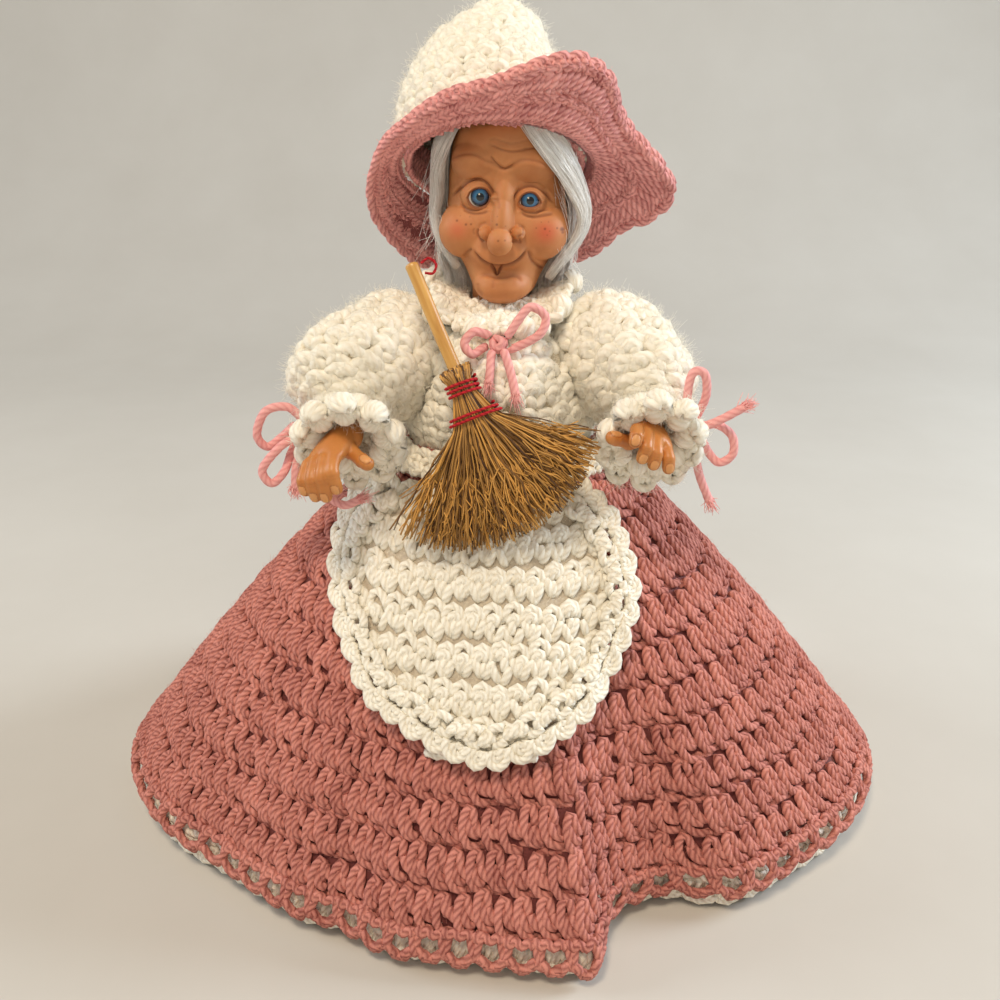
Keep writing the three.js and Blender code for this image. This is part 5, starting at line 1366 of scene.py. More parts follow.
neckHeights, neckTurns = np.linspace(headForm["neckBottom"], 203, 24), np.arange(64) * 360 / 64
neckLines = ringPoint(neckTurns[None], headForm["neckRadius"], neckHeights[:, None])
neckInside, neckOutside = [turned(neckLines * (share, share, 1), headForm["yaw"]) for share in (0.47, 1)]
neckPiece = sheetPiece("neckSkin", neckInside, neckOutside, True, faceVinyl)
for piece in (headPiece, neckPiece):
    replace(piece, "head", "face_vinyl", "head")

# Eyes: a ball mapped from the middle of its gaze, in degrees from there and share of a turn
eyeForm = {
    "gaze": {"right": (450, 650), "left": (825, 678)}, "columns": 96, "front": (0.3, 45, 60),
    "back": (47, 179, 40), "iris": (16.0, 37.0),
    "stops": [(0, (2, 2, 4)), (14.5, (2, 2, 4)), (16, (60, 112, 142)), (19, (58, 116, 156)),
              (26, (38, 88, 132)), (31.5, (20, 50, 80)), (34.5, (6, 10, 18)), (39.3, (16, 22, 30)),
              (41, (216, 208, 200)), (90, (216, 200, 190))],
}
eyeMaterial, tree, shader = newMaterial("eyeGlass", 0.03, 0.0, 0.4, coat=(1.0, 0.02))
eyeMap = strandOf(tree)
streakPlace = nodeOf(tree, "ShaderNodeCombineXYZ", {0: maths(tree, "MULTIPLY", eyeMap[0], 0.03),
                                                    1: maths(tree, "MULTIPLY", eyeMap[1], 60.0)}).outputs[0]
streaks = noiseOf(tree, streakPlace, 1.0, 3.0)
irisRamp = nodeOf(tree, "ShaderNodeValToRGB", {0: maths(tree, "MULTIPLY", eyeMap[0], 1 / 90)})
ramp = irisRamp.color_ramp
for index, (angle, tint) in enumerate(eyeForm["stops"]):
    stop = ramp.elements[index] if index < 2 else ramp.elements.new(angle / 90)
    stop.position, stop.color = angle / 90, colour(*tint)
streakShare = maths(tree, "MULTIPLY", maths(tree, "SUBTRACT", streaks, 0.35, clamp=True), 0.9, clamp=True)
onIris = maths(tree, "MULTIPLY", maths(tree, "LESS_THAN", eyeMap[0], eyeForm["iris"][1]),
               maths(tree, "GREATER_THAN", eyeMap[0], eyeForm["iris"][0]))
tree.links.new(mixColour(tree, maths(tree, "MULTIPLY", streakShare, onIris), irisRamp.outputs[0],
                         colour(30, 66, 98)), shader.inputs["Base Color"])
polarDegrees = np.concatenate([np.linspace(*eyeForm["front"]), np.linspace(*eyeForm["back"])])
columns = eyeForm["columns"]
polar, share = np.radians(polarDegrees)[:, None, None], np.arange(columns) / columns
turn = 2 * np.pi * share[:, None]
i, j = np.meshgrid(np.arange(len(polarDegrees) - 1), np.arange(columns), indexing="ij")
near, far, left, right = polarDegrees[i], polarDegrees[i + 1], share[j], share[j] + 1 / columns
capCorners = (columns - 2) * 3
ballMap = np.concatenate([np.stack([near, left, near, right, far, right, far, left], -1).reshape(-1, 2),
                          np.zeros((capCorners, 2)), np.full((capCorners, 2), 90.0)])
for side, eye in headForm["eyes"].items():
    centre, ray = fromHead(np.array(eye)[None])[0], rayThrough(eyeForm["gaze"][side])
    off = np.array(cameraView["place"], float) - centre
    b = ray @ off
    hit = -b - math.sqrt(max(b * b - off @ off + headForm["eyeRadius"]**2, 0))
    pole = unit(off + ray * hit)
    across = unit(np.cross(pole, (0, 0, 1)))
    up = np.cross(across, pole)
    ball = pole * np.cos(polar) + (across * np.cos(turn) + up * np.sin(turn)) * np.sin(polar)
    piece = meshPiece(side + "EyeBall", centre + ball.reshape(-1, 3) * headForm["eyeRadius"],
                      *tubeFaces(len(polarDegrees), columns), ballMap, material=eyeMaterial)
    replace(piece, "head", "eye", side + "_eye")
print("head sculpted")

# Hair: straight fine mohair, silver white
hairLook = {"radius": 0.1, "lockThickness": 3.6, "stations": 15, "backStrands": 3600, "backStations": 13,
            "looseHairs": 110}
locks = {  # angle from the front, height, how far off the head; width, strands
    "left": ([(16, 250, -0.6), (31, 244.5, 0), (43, 239, 0.3), (54, 233.5, 0.8), (62, 229, 1.6),
              (69, 223, 3.5), (75, 215.5, 5), (78, 207, 4), (77, 199, 3), (76, 194, 2.6)], 9.5, 1150),
    "right": ([(-58, 247, 0.2), (-66, 240, 1.2), (-72, 234, 1.8), (-78, 228, 1.8), (-82, 220, 1.6),
               (-82, 211, 1.4), (-79, 202, 1.6), (-77, 197, 1.6)], 7.2, 860),
}
hairRings = [(186, 20.5, 18), (194.6, 22, 21), (200, 23.8, 24), (206, 23.6, 25.4), (213, 22.9, 26),
             (226, 22.6, 26), (235, 22.4, 24.6), (243, 20.2, 22.4)]
hairMaterial, tree, shader = newMaterial("hairFibre", 0.42, 0.4, 0.45)
hairNoise = noiseOf(tree, nodeOf(tree, "ShaderNodeUVMap", uv_map="strand").outputs[0], 0.6)
hairShare = maths(tree, "MULTIPLY", maths(tree, "ADD", valueOf(tree, "tone"), hairNoise), 0.62, clamp=True)
tree.links.new(mixColour(tree, hairShare, colour(206, 198, 190), colour(255, 255, 252)),
               shader.inputs["Base Color"])


def offHead(angle, height, off):
    sizes = [valueAt(headForm["rings"], height, k) + off for k in (1, 2, 3)]
    return alongHead(ovalPoint(angle, *sizes, height))


def hairStrands(name, lines, ups, radius, *nodes):
    parts = [strandArrays(turned(lines, headForm["yaw"]), ups, np.broadcast_to(radius, lines.shape[:2]), 4)]
    tones = np.repeat(np.clip(rng.normal(0.6, 0.3, len(lines)), 0, 1), lines.shape[1] * 4)
    replace(strandPiece(name, parts, tones, hairMaterial), "head", "hair", *nodes)


for side, (route, width, count) in locks.items():
    stations = hairLook["stations"]
    key = np.linspace(0, 1, stations)
    route = spline(route, 60)
    line = np.stack([np.interp(key, np.linspace(0, 1, 60), route[:, k]) for k in range(3)], -1)
    full = np.sin(np.pi * (0.2 + 0.66 * key))
    centre = offHead(line[:, 0], line[:, 1], line[:, 2] + hairLook["lockThickness"] / 2 * full + 0.3)
    along = unit(np.gradient(centre, axis=0))
    off = unit(centre * np.array((1, 1, 0)))
    off = unit(off - along * (off * along).sum(-1, keepdims=True))
    across = np.cross(along, off)
    turn = rng.uniform(0, 2 * np.pi, count)
    reach = np.sqrt(rng.uniform(0, 1, count)) * rng.choice([1, 1, 1, 1, 1.12, 1.3], count)
    a, b = reach * np.cos(turn), reach * np.sin(turn)
    wander = spline(rng.normal(0, 1, (5, count, 2)), stations)
    spreadOut = 1 + 0.25 * smooth(key, 0.7, 1)
    lines = (centre[None] + (a[:, None] * width / 2 * full * spreadOut)[..., None] * across
             + (b[:, None] * hairLook["lockThickness"] / 2 * full)[..., None] * off)
    lines = lines + (wander[..., 0].T[..., None] * across + wander[..., 1].T[..., None] * off * 0.6) * 0.4
    ends = rng.uniform(0.8, 1.0, count)[:, None] * key[None]
    picked = ends * (stations - 1)
    low = np.minimum(picked.astype(int), stations - 2)
    rowsOf = np.arange(count)[:, None]
    lines = lines[rowsOf, low] + (lines[rowsOf, low + 1] - lines[rowsOf, low]) * (picked - low)[..., None]
    hairStrands(side + "LockHair", lines, turned(np.broadcast_to(off, lines.shape), headForm["yaw"]),
                hairLook["radius"] * (1 - 0.6 * key**3), side + "_hair_lock")

count = hairLook["backStrands"]
turn = 180 + 84 * rng.uniform(-1, 1, count) * rng.uniform(0.9, 1.0, count)
depth = rng.uniform(0, 1, count) ** 0.7
top, bottom = rng.uniform(232, 243, count), rng.uniform(186, 198, count)
key = np.linspace(0, 1, hairLook["backStations"])
height = top[:, None] + (bottom - top)[:, None] * key
sway = spline(rng.normal(0, 1, (4, count)), hairLook["backStations"]).T
angle = turn[:, None] + 2.5 * sway * key + (turn[:, None] - 180) * (0.24 - 0.22 * smooth(key, 0, 0.5))
headSizes = [np.maximum(valueAt(headForm["rings"], height, k),
                        headForm["neckRadius"] + 1.6) + 0.6 for k in (1, 3)]
outerSizes = [valueAt(hairRings, height, k) + 0.5 * sway * key for k in (1, 2)]
sizes = [inner + (outer - inner) * depth[:, None] for inner, outer in zip(headSizes, outerSizes)]
lines = alongHead(ovalPoint(angle, sizes[0], sizes[1], sizes[1], height))
hairStrands("backHair", lines, turned(unit(lines * (1, 1, 0)), headForm["yaw"]),
            hairLook["radius"] * (1 - 0.5 * key**2), "hair_back")
shellTurns, shellHeights = np.meshgrid(np.linspace(98, 262, 40), np.linspace(241, 195, 22))
shellSizes = [valueAt(hairRings, shellHeights, k) for k in (1, 2, 2)]
hairShell = [turned(alongHead(ovalPoint(shellTurns, *[size - drop for size in shellSizes], shellHeights)),
                    headForm["yaw"])[:, ::-1] for drop in (0.9, 1.6)]
hairCap = sheetPiece("hairCap", *hairShell, False, hairMaterial)
replace(hairCap, "head", "hair", "hair_back")
flyaways = []
for _ in range(hairLook["looseHairs"]):  # single hairs round the face
    side = rng.choice([-1, 1], p=[0.3, 0.7])
    start = np.array((side * rng.uniform(16, 22), rng.uniform(-12, -2), rng.uniform(205, 236)))
    drift = np.array((side * rng.uniform(0, 7), rng.uniform(-3, 1), -rng.uniform(6, 16)))
    middle = start + drift * 0.5 + rng.normal(0, 1.4, 3)
    flyaways.append(spline([start, middle, start + drift + rng.normal(0, 1, 3)], 12))
flyaways = np.array(flyaways)
hairStrands("looseHair", flyaways, np.broadcast_to((0.0, -1.0, 0.0), flyaways.shape), 0.045)
print("hair combed")

# Hands of painted vinyl: joints of each digit, skinned together and smoothed
handForm = {
    "fingerRadius": 2.1, "forearmRadius": 4.4, "forearmStart": 3.5, "forearmEnd": 12, "cell": 0.34,
    "palmGrid": (16, 28),
    "left": {
        "fingers": [[(40.9, -55, 157.4), (40.3, -59.6, 157.2), (39.4, -61, 153.8)],
                    [(44.2, -54, 155.8), (43.5, -59, 153.4), (42, -58.4, 148)],
                    [(47.2, -53, 153.6), (46.8, -58, 151.2), (45.8, -57.4, 145.6)],
                    [(50.2, -52, 151.2), (50.8, -56, 149), (51, -56, 143.8)]],
        "thumb": [(39.5, -49, 151.6), (35.4, -52, 153.6), (32.4, -54.4, 155.2)],
    },
    "right": {
        "fingers": [[(-49.6, -57, 149.6), (-49.9, -62, 146.8), (-48.6, -61, 139.2)],
                    [(-52.6, -57, 148.6), (-53.3, -62, 145.4), (-51.9, -61, 136.6)],
                    [(-55.6, -56, 147.4), (-56.4, -61, 144), (-55.2, -60, 136.4)],
                    [(-58.2, -54.4, 146), (-59.4, -59, 142.8), (-58.4, -59, 137.8)]],
        "thumb": [(-45.6, -50, 148.9), (-42, -54, 147.4), (-38.6, -57.6, 146.8)],
    },
}


def onForearm(side, distance):
    return wristAt(side) + below(armForm["forearmPitch"]) * distance


def tubeOf(points, radii, sides=20):  # closed tube with rounded ends
    line = np.array(points, float)
    way = unit(np.gradient(line, axis=0))
    capTurns = np.linspace(0, np.pi / 2, 5)[:-1]
    head = [(line[0] - way[0] * radii[0] * math.cos(t), radii[0] * math.sin(t) + 0.02) for t in capTurns]
    tail = [(line[-1] + way[-1] * radii[-1] * math.cos(t),
             radii[-1] * math.sin(t) + 0.02) for t in capTurns[::-1]]
    stations = head + list(zip(line, radii)) + tail
    centres = np.array([c for c, _ in stations])
    sizes = np.array([r for _, r in stations])
    up = np.broadcast_to((0.2, 0.3, 1.0), centres.shape)
    along = unit(np.concatenate([np.repeat(way[:1], 4, 0), way, np.repeat(way[-1:], 4, 0)]))
    side = unit(np.cross(along, (0.2, 0.3, 1.0)))
    lift = np.cross(side, along)
    turn = 2 * np.pi * np.arange(sides) / sides
    ring = (centres[:, None] + sizes[:, None, None] * (np.cos(turn)[:, None] * side[:, None]
                                                     + np.sin(turn)[:, None] * lift[:, None]))
    return ring.reshape(-1, 3), *tubeFaces(len(stations), sides)


def digitTube(joints, radius):
    first, bend, tip = [np.array(p, float) for p in joints]
    last = bend + (tip - bend) * (1 - radius * 0.9 / np.linalg.norm(tip - bend))
    line = spline([first, first + (bend - first) * 0.75, bend + (tip - bend) * 0.22, last], 22)
    key = np.linspace(0, 1, 22)
    joint = np.exp(-(((key - 0.55) / 0.12) ** 2)) * 0.12 + np.exp(-(((key - 0.02) / 0.12) ** 2)) * 0.1
    pad = np.exp(-(((key - 0.88) / 0.12) ** 2)) * 0.04
    return tubeOf(line, radius * (0.93 + joint + pad))


handVinyl = vinylMaterial("handVinyl", {
    "roughness": 0.4, "specular": 0.45, "subsurface": (0.15, 0.0014), "reach": (1.0, 0.35, 0.15),
    "speckle": 170.0, "low": (184, 114, 56), "high": (204, 136, 70),
    # the crease mask is painted shade in the nail rims and joint wrinkles
    "masks": {"creaseShade": (0.65, (118, 52, 24)), "nail": (0.5, (232, 176, 118))},
})

for side, arm in ((1, "left"), (-1, "right")):
    shape, radius = handForm[arm], handForm["fingerRadius"]
    fingers, thumb = np.array(shape["fingers"], float), np.array(shape["thumb"], float)
    parts = [tubeOf([onForearm(side, handForm["forearmStart"] + 2), onForearm(side, handForm["forearmEnd"])],
                    [handForm["forearmRadius"]] * 2)]
    row, frontEnd = fingers[3, 0] - fingers[0, 0], (fingers[0, 0] + fingers[3, 0]) / 2
    backEnd = onForearm(side, handForm["forearmEnd"] - 3)
    along = unit(frontEnd - backEnd)
    across = unit(row - along * (row @ along))
    thick = np.cross(along, across)
    half = np.linalg.norm(row) / 2 + radius
    sections = [(0, 4.2, 4.2), (0.3, 5.2, 4.4), (0.65, half * 0.92, 4), (0.9, half, 2.9),
                (1.0, half - 1, 1.9)]
    key = np.linspace(0, 1, handForm["palmGrid"][0])
    turn = 2 * np.pi * np.arange(handForm["palmGrid"][1]) / handForm["palmGrid"][1]
    wide, deep = valueAt(sections, key, 1), valueAt(sections, key, 2)
    middle = (backEnd + (frontEnd - backEnd) * key[:, None])[:, None]
    palm = (middle + (wide[:, None] * np.cos(turn))[..., None] * across
            + (deep[:, None] * np.sin(turn))[..., None] * thick)
    parts.append((palm.reshape(-1, 3), *tubeFaces(*handForm["palmGrid"])))
    parts.append(tubeOf([backEnd + (frontEnd - backEnd) * 0.35, thumb[0]], [radius * 1.5, radius * 1.25]))
    for joints in fingers:
        parts.append(digitTube(joints, radius))
        parts.append(tubeOf([backEnd + (joints[0] - backEnd) * 0.4, joints[0]], [radius * 1.1, radius]))
    parts.append(digitTube(thumb, radius * 1.1))
    points, quads, triangles = gather(parts)
    rough = meshPiece(arm + "HandRough", points / mm, quads, triangles)
    remesh = rough.modifiers.new("remesh", "REMESH")
    remesh.mode, remesh.voxel_size = "VOXEL", handForm["cell"]
    softer = rough.modifiers.new("softer", "SMOOTH")
    softer.factor, softer.iterations = 0.5, 7
    made = rough.evaluated_get(bpy.context.evaluated_depsgraph_get()).to_mesh()
    points, normals = np.zeros((2, len(made.vertices) * 3))
    made.vertices.foreach_get("co", points)
    made.vertices.foreach_get("normal", normals)
    points, normals = points.reshape(-1, 3), normals.reshape(-1, 3)
    faces = [tuple(face.vertices) for face in made.polygons]
    bpy.data.objects.remove(rough)
    creaseShade, nail = np.zeros(len(points)), np.zeros(len(points))
    for index, (first, bend, tip) in enumerate([*fingers, thumb]):
        size, outer = radius, unit(2 * bend - first - tip)  # outer is the back of the digit
        if index == len(fingers):
            size, outer = radius * 1.1, unit(np.array((0, -0.5, 1.0)))
        way = unit(tip - bend)
        outer = unit(outer - way * (outer @ way))
        middle = tip - way * size * 1.05 + outer * size * 0.75
        off = points - middle
        alongNail, acrossNail = off @ way, off @ np.cross(way, outer)
        onBack = normals @ outer > 0.25
        shapeOf = (np.abs(alongNail / (size * 0.85)) ** 2.6 + np.abs(acrossNail / (size * 0.62)) ** 2.6)
        near = (np.linalg.norm(off, axis=1) < size * 2) & onBack
        plate = (1 - smooth(shapeOf, 0.8, 1.0)) * near
        rim = np.exp(-(((shapeOf - 1.08) / 0.22) ** 2)) * near
        # nail rims and, below, joint wrinkles are darkened as painted shade
        nail, creaseShade = np.maximum(nail, plate), np.maximum(creaseShade, rim * 0.8)
        points = points - normals * (rim * 0.16)[:, None] + normals * (plate * 0.05)[:, None]
        for share, depth in ((0.0, 0.12), (-0.14, 0.08), (0.13, 0.08)):  # wrinkles over the joint
            place = bend + (tip - bend) * (0.1 + share)
            off = points - place
            back = smooth(off @ unit(2 * bend - first - tip), size * 0.3, size * 0.8)
            wrinkle = np.exp(-(((off @ way) / 0.22) ** 2)) * (np.linalg.norm(off, axis=1) < size * 1.5) * back
            points = points - normals * (wrinkle * depth)[:, None]
            creaseShade = np.maximum(creaseShade, wrinkle * depth * 3)
    quads, triangles = [[face for face in faces if len(face) == corners] for corners in (4, 3)]
    hand = meshPiece(arm + "HandSkin", points, quads, triangles, material=handVinyl)
    addValues(hand.data, "creaseShade", creaseShade)
    addValues(hand.data, "nail", nail)
    replace(hand, arm + "_hand", "hand_vinyl", arm + "_hand")
print("hands smoothed")

# Broom, in its own frame: z along the handle, x across the fan, y into the doll
broomForm = {
    "place": (-11.5, -42.4, 167), "swing": 24, "tilt": 18.5, "handleRadius": 2.1, "handle": (-7, 41),
    "sections": [(-12, 9, 4.2), (-10.6, 8, 4.1), (-6.6, 6.2, 4), (-2.6, 4.5, 3.9), (2.6, 4.5, 3.9),
                 (5.5, 5.7, 4.5)],
    "fan": {"turn": 51, "apex": -3, "long": 49, "short": 43, "depth": 4.6}, "twigs": 560, "sideTwigs": 200,
    "windings": {"upper": (0, 3), "lower": (-9, 2)}, "thread": 1.0, "pitch": 1.5,
    "hangLoop": [(2.9, 0, 39.8), (5.6, 0.6, 40.3), (7, 0.8, 37.8), (5.2, 0.5, 35.6), (2.9, 0, 36.6)],
}
swing, tilt = math.radians(broomForm["swing"]), math.radians(broomForm["tilt"])
acrossFan = np.array((math.cos(swing), 0, math.sin(swing)))
upHandle = np.array((-math.sin(swing) * math.cos(tilt), math.sin(tilt), math.cos(swing) * math.cos(tilt)))
intoDoll = np.cross(upHandle, acrossFan)


def fromBroom(points):
    points = np.asarray(points, float)
    return (np.array(broomForm["place"], float) + points[..., :1] * acrossFan + points[..., 1:2] * intoDoll
            + points[..., 2:] * upHandle)


def woodMaterial(name, low, high, scale, roughness, coat=0.0):  # grain along the strand map
    material, tree, shader = newMaterial(name, roughness, coat=(coat, 0.25))
    uv, tone = strandOf(tree), valueOf(tree, "tone")
    place = nodeOf(tree, "ShaderNodeCombineXYZ", {
        index: maths(tree, "MULTIPLY", value, stretch)
        for index, (value, stretch) in enumerate(((uv[0], 0.06), (uv[1], scale), (tone, 40.0)))}).outputs[0]
    grain = noiseOf(tree, place, 1.0, 4.0, distortion=0.4)
    share = maths(tree, "ADD", maths(tree, "MULTIPLY", maths(tree, "SUBTRACT", grain, 0.5), 1.5), tone,
                  clamp=True)
    tree.links.new(mixColour(tree, share, colour(*low), colour(*high)), shader.inputs["Base Color"])
    tree.links.new(bumpOf(tree, grain, 0.08 * mm), shader.inputs["Normal"])
    return material


handleWood = woodMaterial("handleWood", (176, 116, 44), (228, 180, 98), 7.0, 0.4, 0.35)
twigSkin = woodMaterial("twigSkin", (66, 34, 10), (224, 168, 84), 3.0, 0.55, 0.1)
redThread = yarnMaterial("redThread", (110, 12, 22), (206, 44, 52), plies=2.0, pitch=1.6, bump=0.15)

# The handle's ends are rounded over and its shaft wavers a little
lowEnd, highEnd = broomForm["handle"]
shaft = np.concatenate([[lowEnd], np.linspace(lowEnd + 0.4, highEnd - 0.8, 60), [highEnd - 0.3, highEnd]])
shaftRadius = broomForm["handleRadius"] * (1 + 0.012 * np.sin(shaft * 0.5))
shaftRadius *= np.where(shaft > highEnd - 0.5, 0.86, 1)
shaftRadius[-1] *= 0.6
shaftLine = np.stack([0.05 * np.sin(shaft * 0.21), 0 * shaft, shaft], -1)
part = strandArrays(fromBroom(shaftLine)[None], np.broadcast_to(acrossFan, (1, len(shaft), 3)),
                    shaftRadius[None], 24)
handlePiece = strandPiece("handleWoodGrain", [part], 0.55, handleWood)
replace(handlePiece, "broom", "broom_wood", "broom_handle")

# Twigs: each runs from the tuft through the bindings, and fans out below them
count, fan = broomForm["twigs"], broomForm["fan"]
share = rng.uniform(0, 2 * np.pi, count)
reach = np.sqrt(rng.uniform(0.02, 1, count))
u, v = reach * np.cos(share), reach * np.sin(share)
spots = []
for height in (5.5, 2.6, 0, -2.6, -6.6, -10.6, -12):
    wide, deep = valueAt(broomForm["sections"], height, 1), valueAt(broomForm["sections"], height, 2)
    core = broomForm["handleRadius"] + 0.4 if height > -8 else 0.0
    keep = np.maximum(np.hypot(u * wide, v * deep), core) / np.maximum(np.hypot(u * wide, v * deep), 1e-6)
    spots.append(np.stack([u * (wide - 0.4) * keep, v * (deep - 0.4) * keep, np.full(count, height)], -1))
spots[0][:, 2] += rng.uniform(-1.6, 1.2, count)
angle = np.radians(fan["turn"]) * u + rng.normal(0, 0.035, count)
length = fan["long"] + (fan["short"] - fan["long"]) * (u + 1) / 2
isShort = rng.uniform(0, 1, count) < 0.35
length = length * np.where(isShort, rng.uniform(0.82, 0.97, count), rng.uniform(0.96, 1.01, count))
tips = np.stack([length * np.sin(angle), v * fan["depth"] + rng.normal(0, 0.5, count),
                 fan["apex"] - length * np.cos(angle)], -1)
root = spots[-1]
for step in (0.14, 0.28, 0.42, 0.56, 0.7, 0.84, 1.0):  # dry twigs kink at every joint
    spots.append(root + (tips - root) * step + rng.normal(0, 0.2 + 0.6 * step, (count, 3)) * (1, 0.5, 0.6))
twigLines = np.stack(spots, 1)
twigRadius = rng.uniform(0.2, 0.4, count)[:, None] * np.linspace(1.05, 0.7, twigLines.shape[1])
parts = [strandArrays(fromBroom(twigLines), np.broadcast_to(intoDoll, twigLines.shape), twigRadius, 6)]
tones = [np.repeat(np.clip(rng.normal(0.5, 0.34, count), 0, 1), twigLines.shape[1] * 6)]
sideTwigs = broomForm["sideTwigs"]
for joint in (9, 10, 11, 12):
    picked = rng.integers(0, count, sideTwigs)
    start, ahead = twigLines[picked, joint], unit(twigLines[picked, 13] - twigLines[picked, joint - 2])
    way = unit(ahead + rng.normal(0, 0.42, (sideTwigs, 3)) * (1, 0.35, 0.5))
    length = rng.uniform(4, 9, (sideTwigs, 1)) * (13.6 - joint) / 3
    bend = rng.normal(0, 0.5, (sideTwigs, 3))
    forks = fromBroom(np.stack([start, start + way * length * 0.5 + bend, start + way * length], 1))
    parts.append(strandArrays(forks, np.broadcast_to(intoDoll, forks.shape), 0.2, 5))
    tones.append(np.repeat(np.clip(rng.normal(0.85, 0.2, sideTwigs), 0, 1), 15))
twigPiece = strandPiece("broomTwigs", parts, np.concatenate(tones), twigSkin)
wisps = []
for start, end in (((-5, -1, -10), (-14.5, -2, -30)), ((-6, 0, -11), (-17, -2.4, -31)),
                   ((4, -2, -9), (13, -4, -27))):
    middle = (np.array(start) + np.array(end)) / 2 + rng.normal(0, 0.8, 3)
    wisps.append(spline([start, middle, end], 10))
wisps = fromBroom(np.array(wisps))
wispPiece = strandPiece("broomWisps", [strandArrays(wisps, np.broadcast_to(intoDoll, wisps.shape), 0.24, 6)],
                        0.7, twigSkin)
for piece in (twigPiece, wispPiece):
    replace(piece, "broom", "twigs", "broom_bristles")


def windingLine(middle, turns):
    steps = 40 * turns
    i = np.arange(steps + 1)
    height = middle + broomForm["pitch"] * turns * (0.5 - i / steps)
    off = broomForm["thread"] / 2 + 0.15
    turn = 2 * np.pi * i / 40
    return np.stack([(valueAt(broomForm["sections"], height, 1) + off) * np.cos(turn),
                     (valueAt(broomForm["sections"], height, 2) + off) * np.sin(turn), height], -1)


def threadPiece(name, line, ups, radius, node):
    thread = strandPiece(name, [strandArrays(line[None], ups[None], radius, 10, 1.0, 2, 3.4, 0.2)], 0.5,
                         redThread)
    replace(thread, "broom", "red_thread", node)


for label, (middle, turns) in broomForm["windings"].items():
    line = fromBroom(windingLine(middle, turns))
    threadPiece(label + "BindingThread", line, unit(line - fromBroom((0, 0, middle))),
                broomForm["thread"] / 2, f"broom_binding_{label}")
line = fromBroom(evenly(spline(broomForm["hangLoop"], 120), 0.25))
threadPiece("hangLoopThread", line, frames(line), 0.45, "broom_hang_loop")
print("broom bound")

# Inner parts: foam cone, dowel, chenille stem and stuffing, and the apron's waistband
foamMaterial = speckledMaterial("foam", (226, 226, 220), (250, 250, 246), 420, contrast=2.4, bump=0.35)
dowelMaterial = speckledMaterial("dowelWood", (176, 140, 90), (222, 194, 146), 260, (1, 1, 0.06), 2.0, 0.6)
chenilleMaterial = speckledMaterial("chenille", (186, 180, 170), (238, 234, 226), 1500, contrast=2.5,
                                    bump=0.5, sheen=0.5)
stuffingMaterial = speckledMaterial("stuffingFibre", (228, 228, 226), (252, 252, 252), 500, (1, 1, 0.5), 2.2,
                                    bump=0.5, sheen=0.5)
for label, material in (("neck_dowel", dowelMaterial), ("shoulder_wire", chenilleMaterial),
                        ("left_arm_wire", chenilleMaterial), ("right_arm_wire", chenilleMaterial),
                        ("foam_cone", foamMaterial)):
    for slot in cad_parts[label].material_slots:
        slot.material = material

band = {"height": 8, "out": 3.22, "rows": 2, "stitchWidth": 6.2, "yarnRadius": 1.3}


def bandPlace(u, v):
    height = skirtForm["waistHeight"] - band["height"] * v
    return ringPoint(360 * u, skirtRadius(360 * u, height) + band["out"], height)


bandRows = roundRows(bandPlace, band["rows"], band["stitchWidth"], 0.02, 0.98)
bandLines = stitchLines(bandPlace, bandRows, puffStitch, 1.5, stations=6)
bandKnit = stitchPiece("waistbandStitches", bandLines, band["yarnRadius"], whiteYarn)
bandCloth = clothPiece("waistbandCloth", bandPlace, 120, (0.05, 0.95, 4), -1.3, -2.4, whiteShadeCloth)
for piece in (bandKnit, bandCloth):
    replace(piece, "torso", "white_yarn", "apron_waistband")

# Stuffing between the blouse and the cone's top, with a hollow round each sleeve's ball
stuffingForm = {"wall": 3.4, "low": 142.4, "high": 179.5, "coneRadius": 24.6, "coneTop": 148.5, "dowel": 0.18,
                "sleeveBall": 21.1}
stuffingTurns, stuffingDown = np.meshgrid(np.arange(80) * 360 / 80, np.linspace(0, 1, 30))
height = stuffingForm["high"] - (stuffingForm["high"] - stuffingForm["low"]) * stuffingDown
crown = 1 - 0.85 * (1 - smooth(stuffingDown, 0, 0.16)) ** 2
sizes = [(valueAt(bodiceForm["rings"], height, k) - stuffingForm["wall"]) * crown for k in (1, 2, 3)]
outer = ovalPoint(stuffingTurns, *sizes, height)
for side in (-1, 1):
    outer = outsideBall(outer, shoulderAt(side), stuffingForm["sleeveBall"])
hollow = stuffingForm["coneRadius"] * np.where(height > stuffingForm["coneTop"], stuffingForm["dowel"], 1)
inside = np.minimum(hollow, np.linalg.norm(outer[..., :2], axis=-1) - 0.8)[..., None]
core = np.concatenate([unit(outer * (1, 1, 0))[..., :2] * inside, height[..., None]], -1)
stuffingPiece = sheetPiece("stuffingWad", outer, core, True, stuffingMaterial)
replace(stuffingPiece, "torso", "stuffing", "torso_stuffing")
print("inner parts dressed")

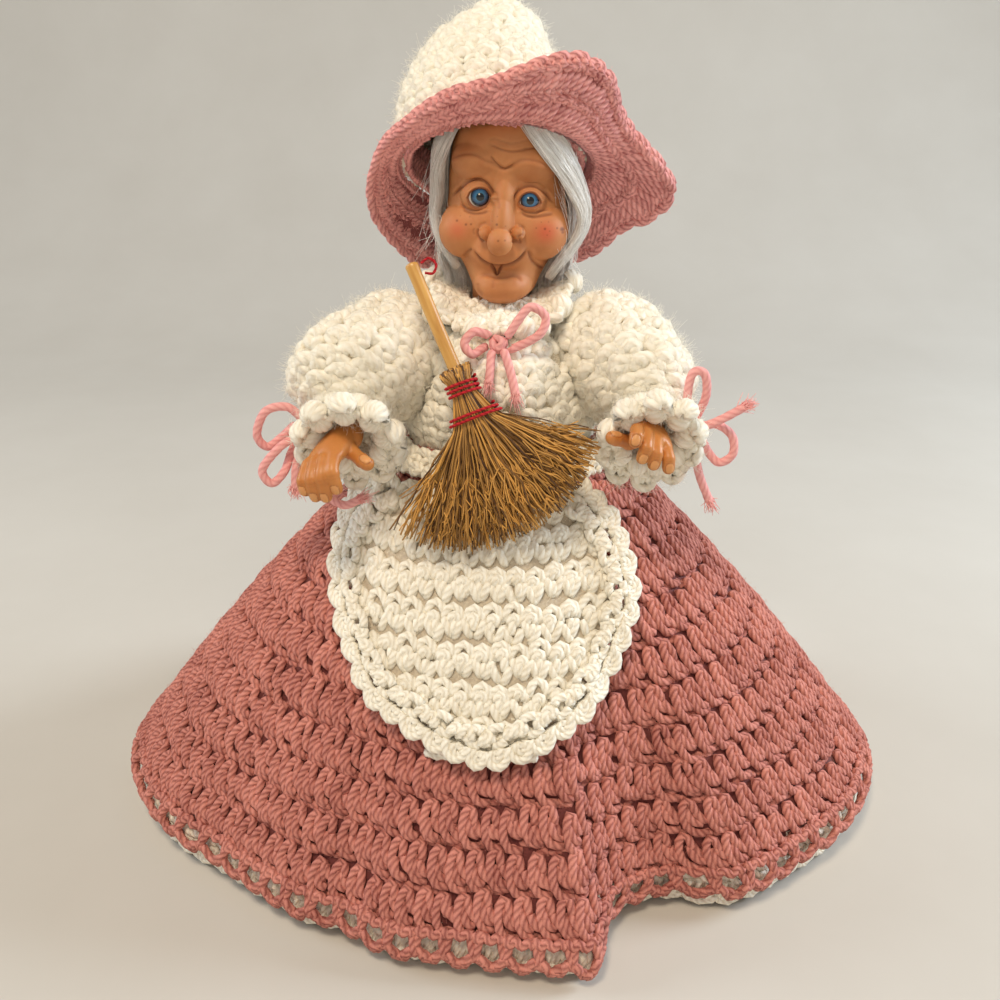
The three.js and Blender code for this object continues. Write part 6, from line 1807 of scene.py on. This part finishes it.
# Stage: a pale floor that curves up behind, a big soft window and a weak fill
stageForm = {"width": 3.0, "front": -1.2, "back": 1.1, "rise": 1.6, "bend": 0.5}
floorMaterial = speckledMaterial("paleCloth", (196, 192, 184), (206, 203, 196), 8, contrast=1.2, bump=0.0,
                                 roughness=0.95, specular=0.2)
bendStart, bend = stageForm["back"] - stageForm["bend"], stageForm["bend"]
profile = [(stageForm["front"], 0.0), (bendStart, 0.0)]
for turn in np.linspace(0, math.pi / 2, 13)[1:]:
    profile.append((bendStart + bend * math.sin(turn), bend * (1 - math.cos(turn))))
profile.append((stageForm["back"], stageForm["rise"]))
floorPoints = [(x, y, z) for y, z in profile for x in (-stageForm["width"], stageForm["width"])]
floorQuads = [(2 * i, 2 * i + 1, 2 * i + 3, 2 * i + 2) for i in range(len(profile) - 1)]
backdrop = meshPiece("backdrop", np.array(floorPoints) / mm, floorQuads, material=floorMaterial)


def areaLight(name, place, target, size, power, tint):
    data = bpy.data.lights.new(name, "AREA")
    data.shape, data.size, data.energy, data.color = "DISK", size, power, tint
    light = bpy.data.objects.new(name, data)
    light.location = place
    light.rotation_euler = (Vector(target) - Vector(place)).to_track_quat("-Z", "Y").to_euler()
    bpy.context.scene.collection.objects.link(light)


lights = {
    "window": ((1.1, 0.15, 0.6), (0, 0, 0.14), 0.5, 12.0, (0.80, 0.90, 1.0)),
    "front": ((-0.2, -0.62, 1.35), (0, 0, 0.12), 0.35, 10.5, (1.0, 0.84, 0.64)),
    "left": ((-1.1, 0.1, 0.7), (0, 0, 0.14), 0.5, 5.0, (0.86, 0.93, 1.0)),
    "low": ((0.1, -1.3, 0.5), (0, 0, 0.1), 0.3, 2.0, (1.0, 0.80, 0.58)),
}
for lightName, settings in lights.items():
    areaLight(lightName, *settings)
world = bpy.data.worlds.new("room")
world.use_nodes = True
background = world.node_tree.nodes["Background"]
background.inputs["Color"].default_value = (0.95, 0.94, 0.92, 1)
background.inputs["Strength"].default_value = 0.36
bpy.context.scene.world = world
bpy.context.scene.view_settings.view_transform = "Standard"
print("stage lit")
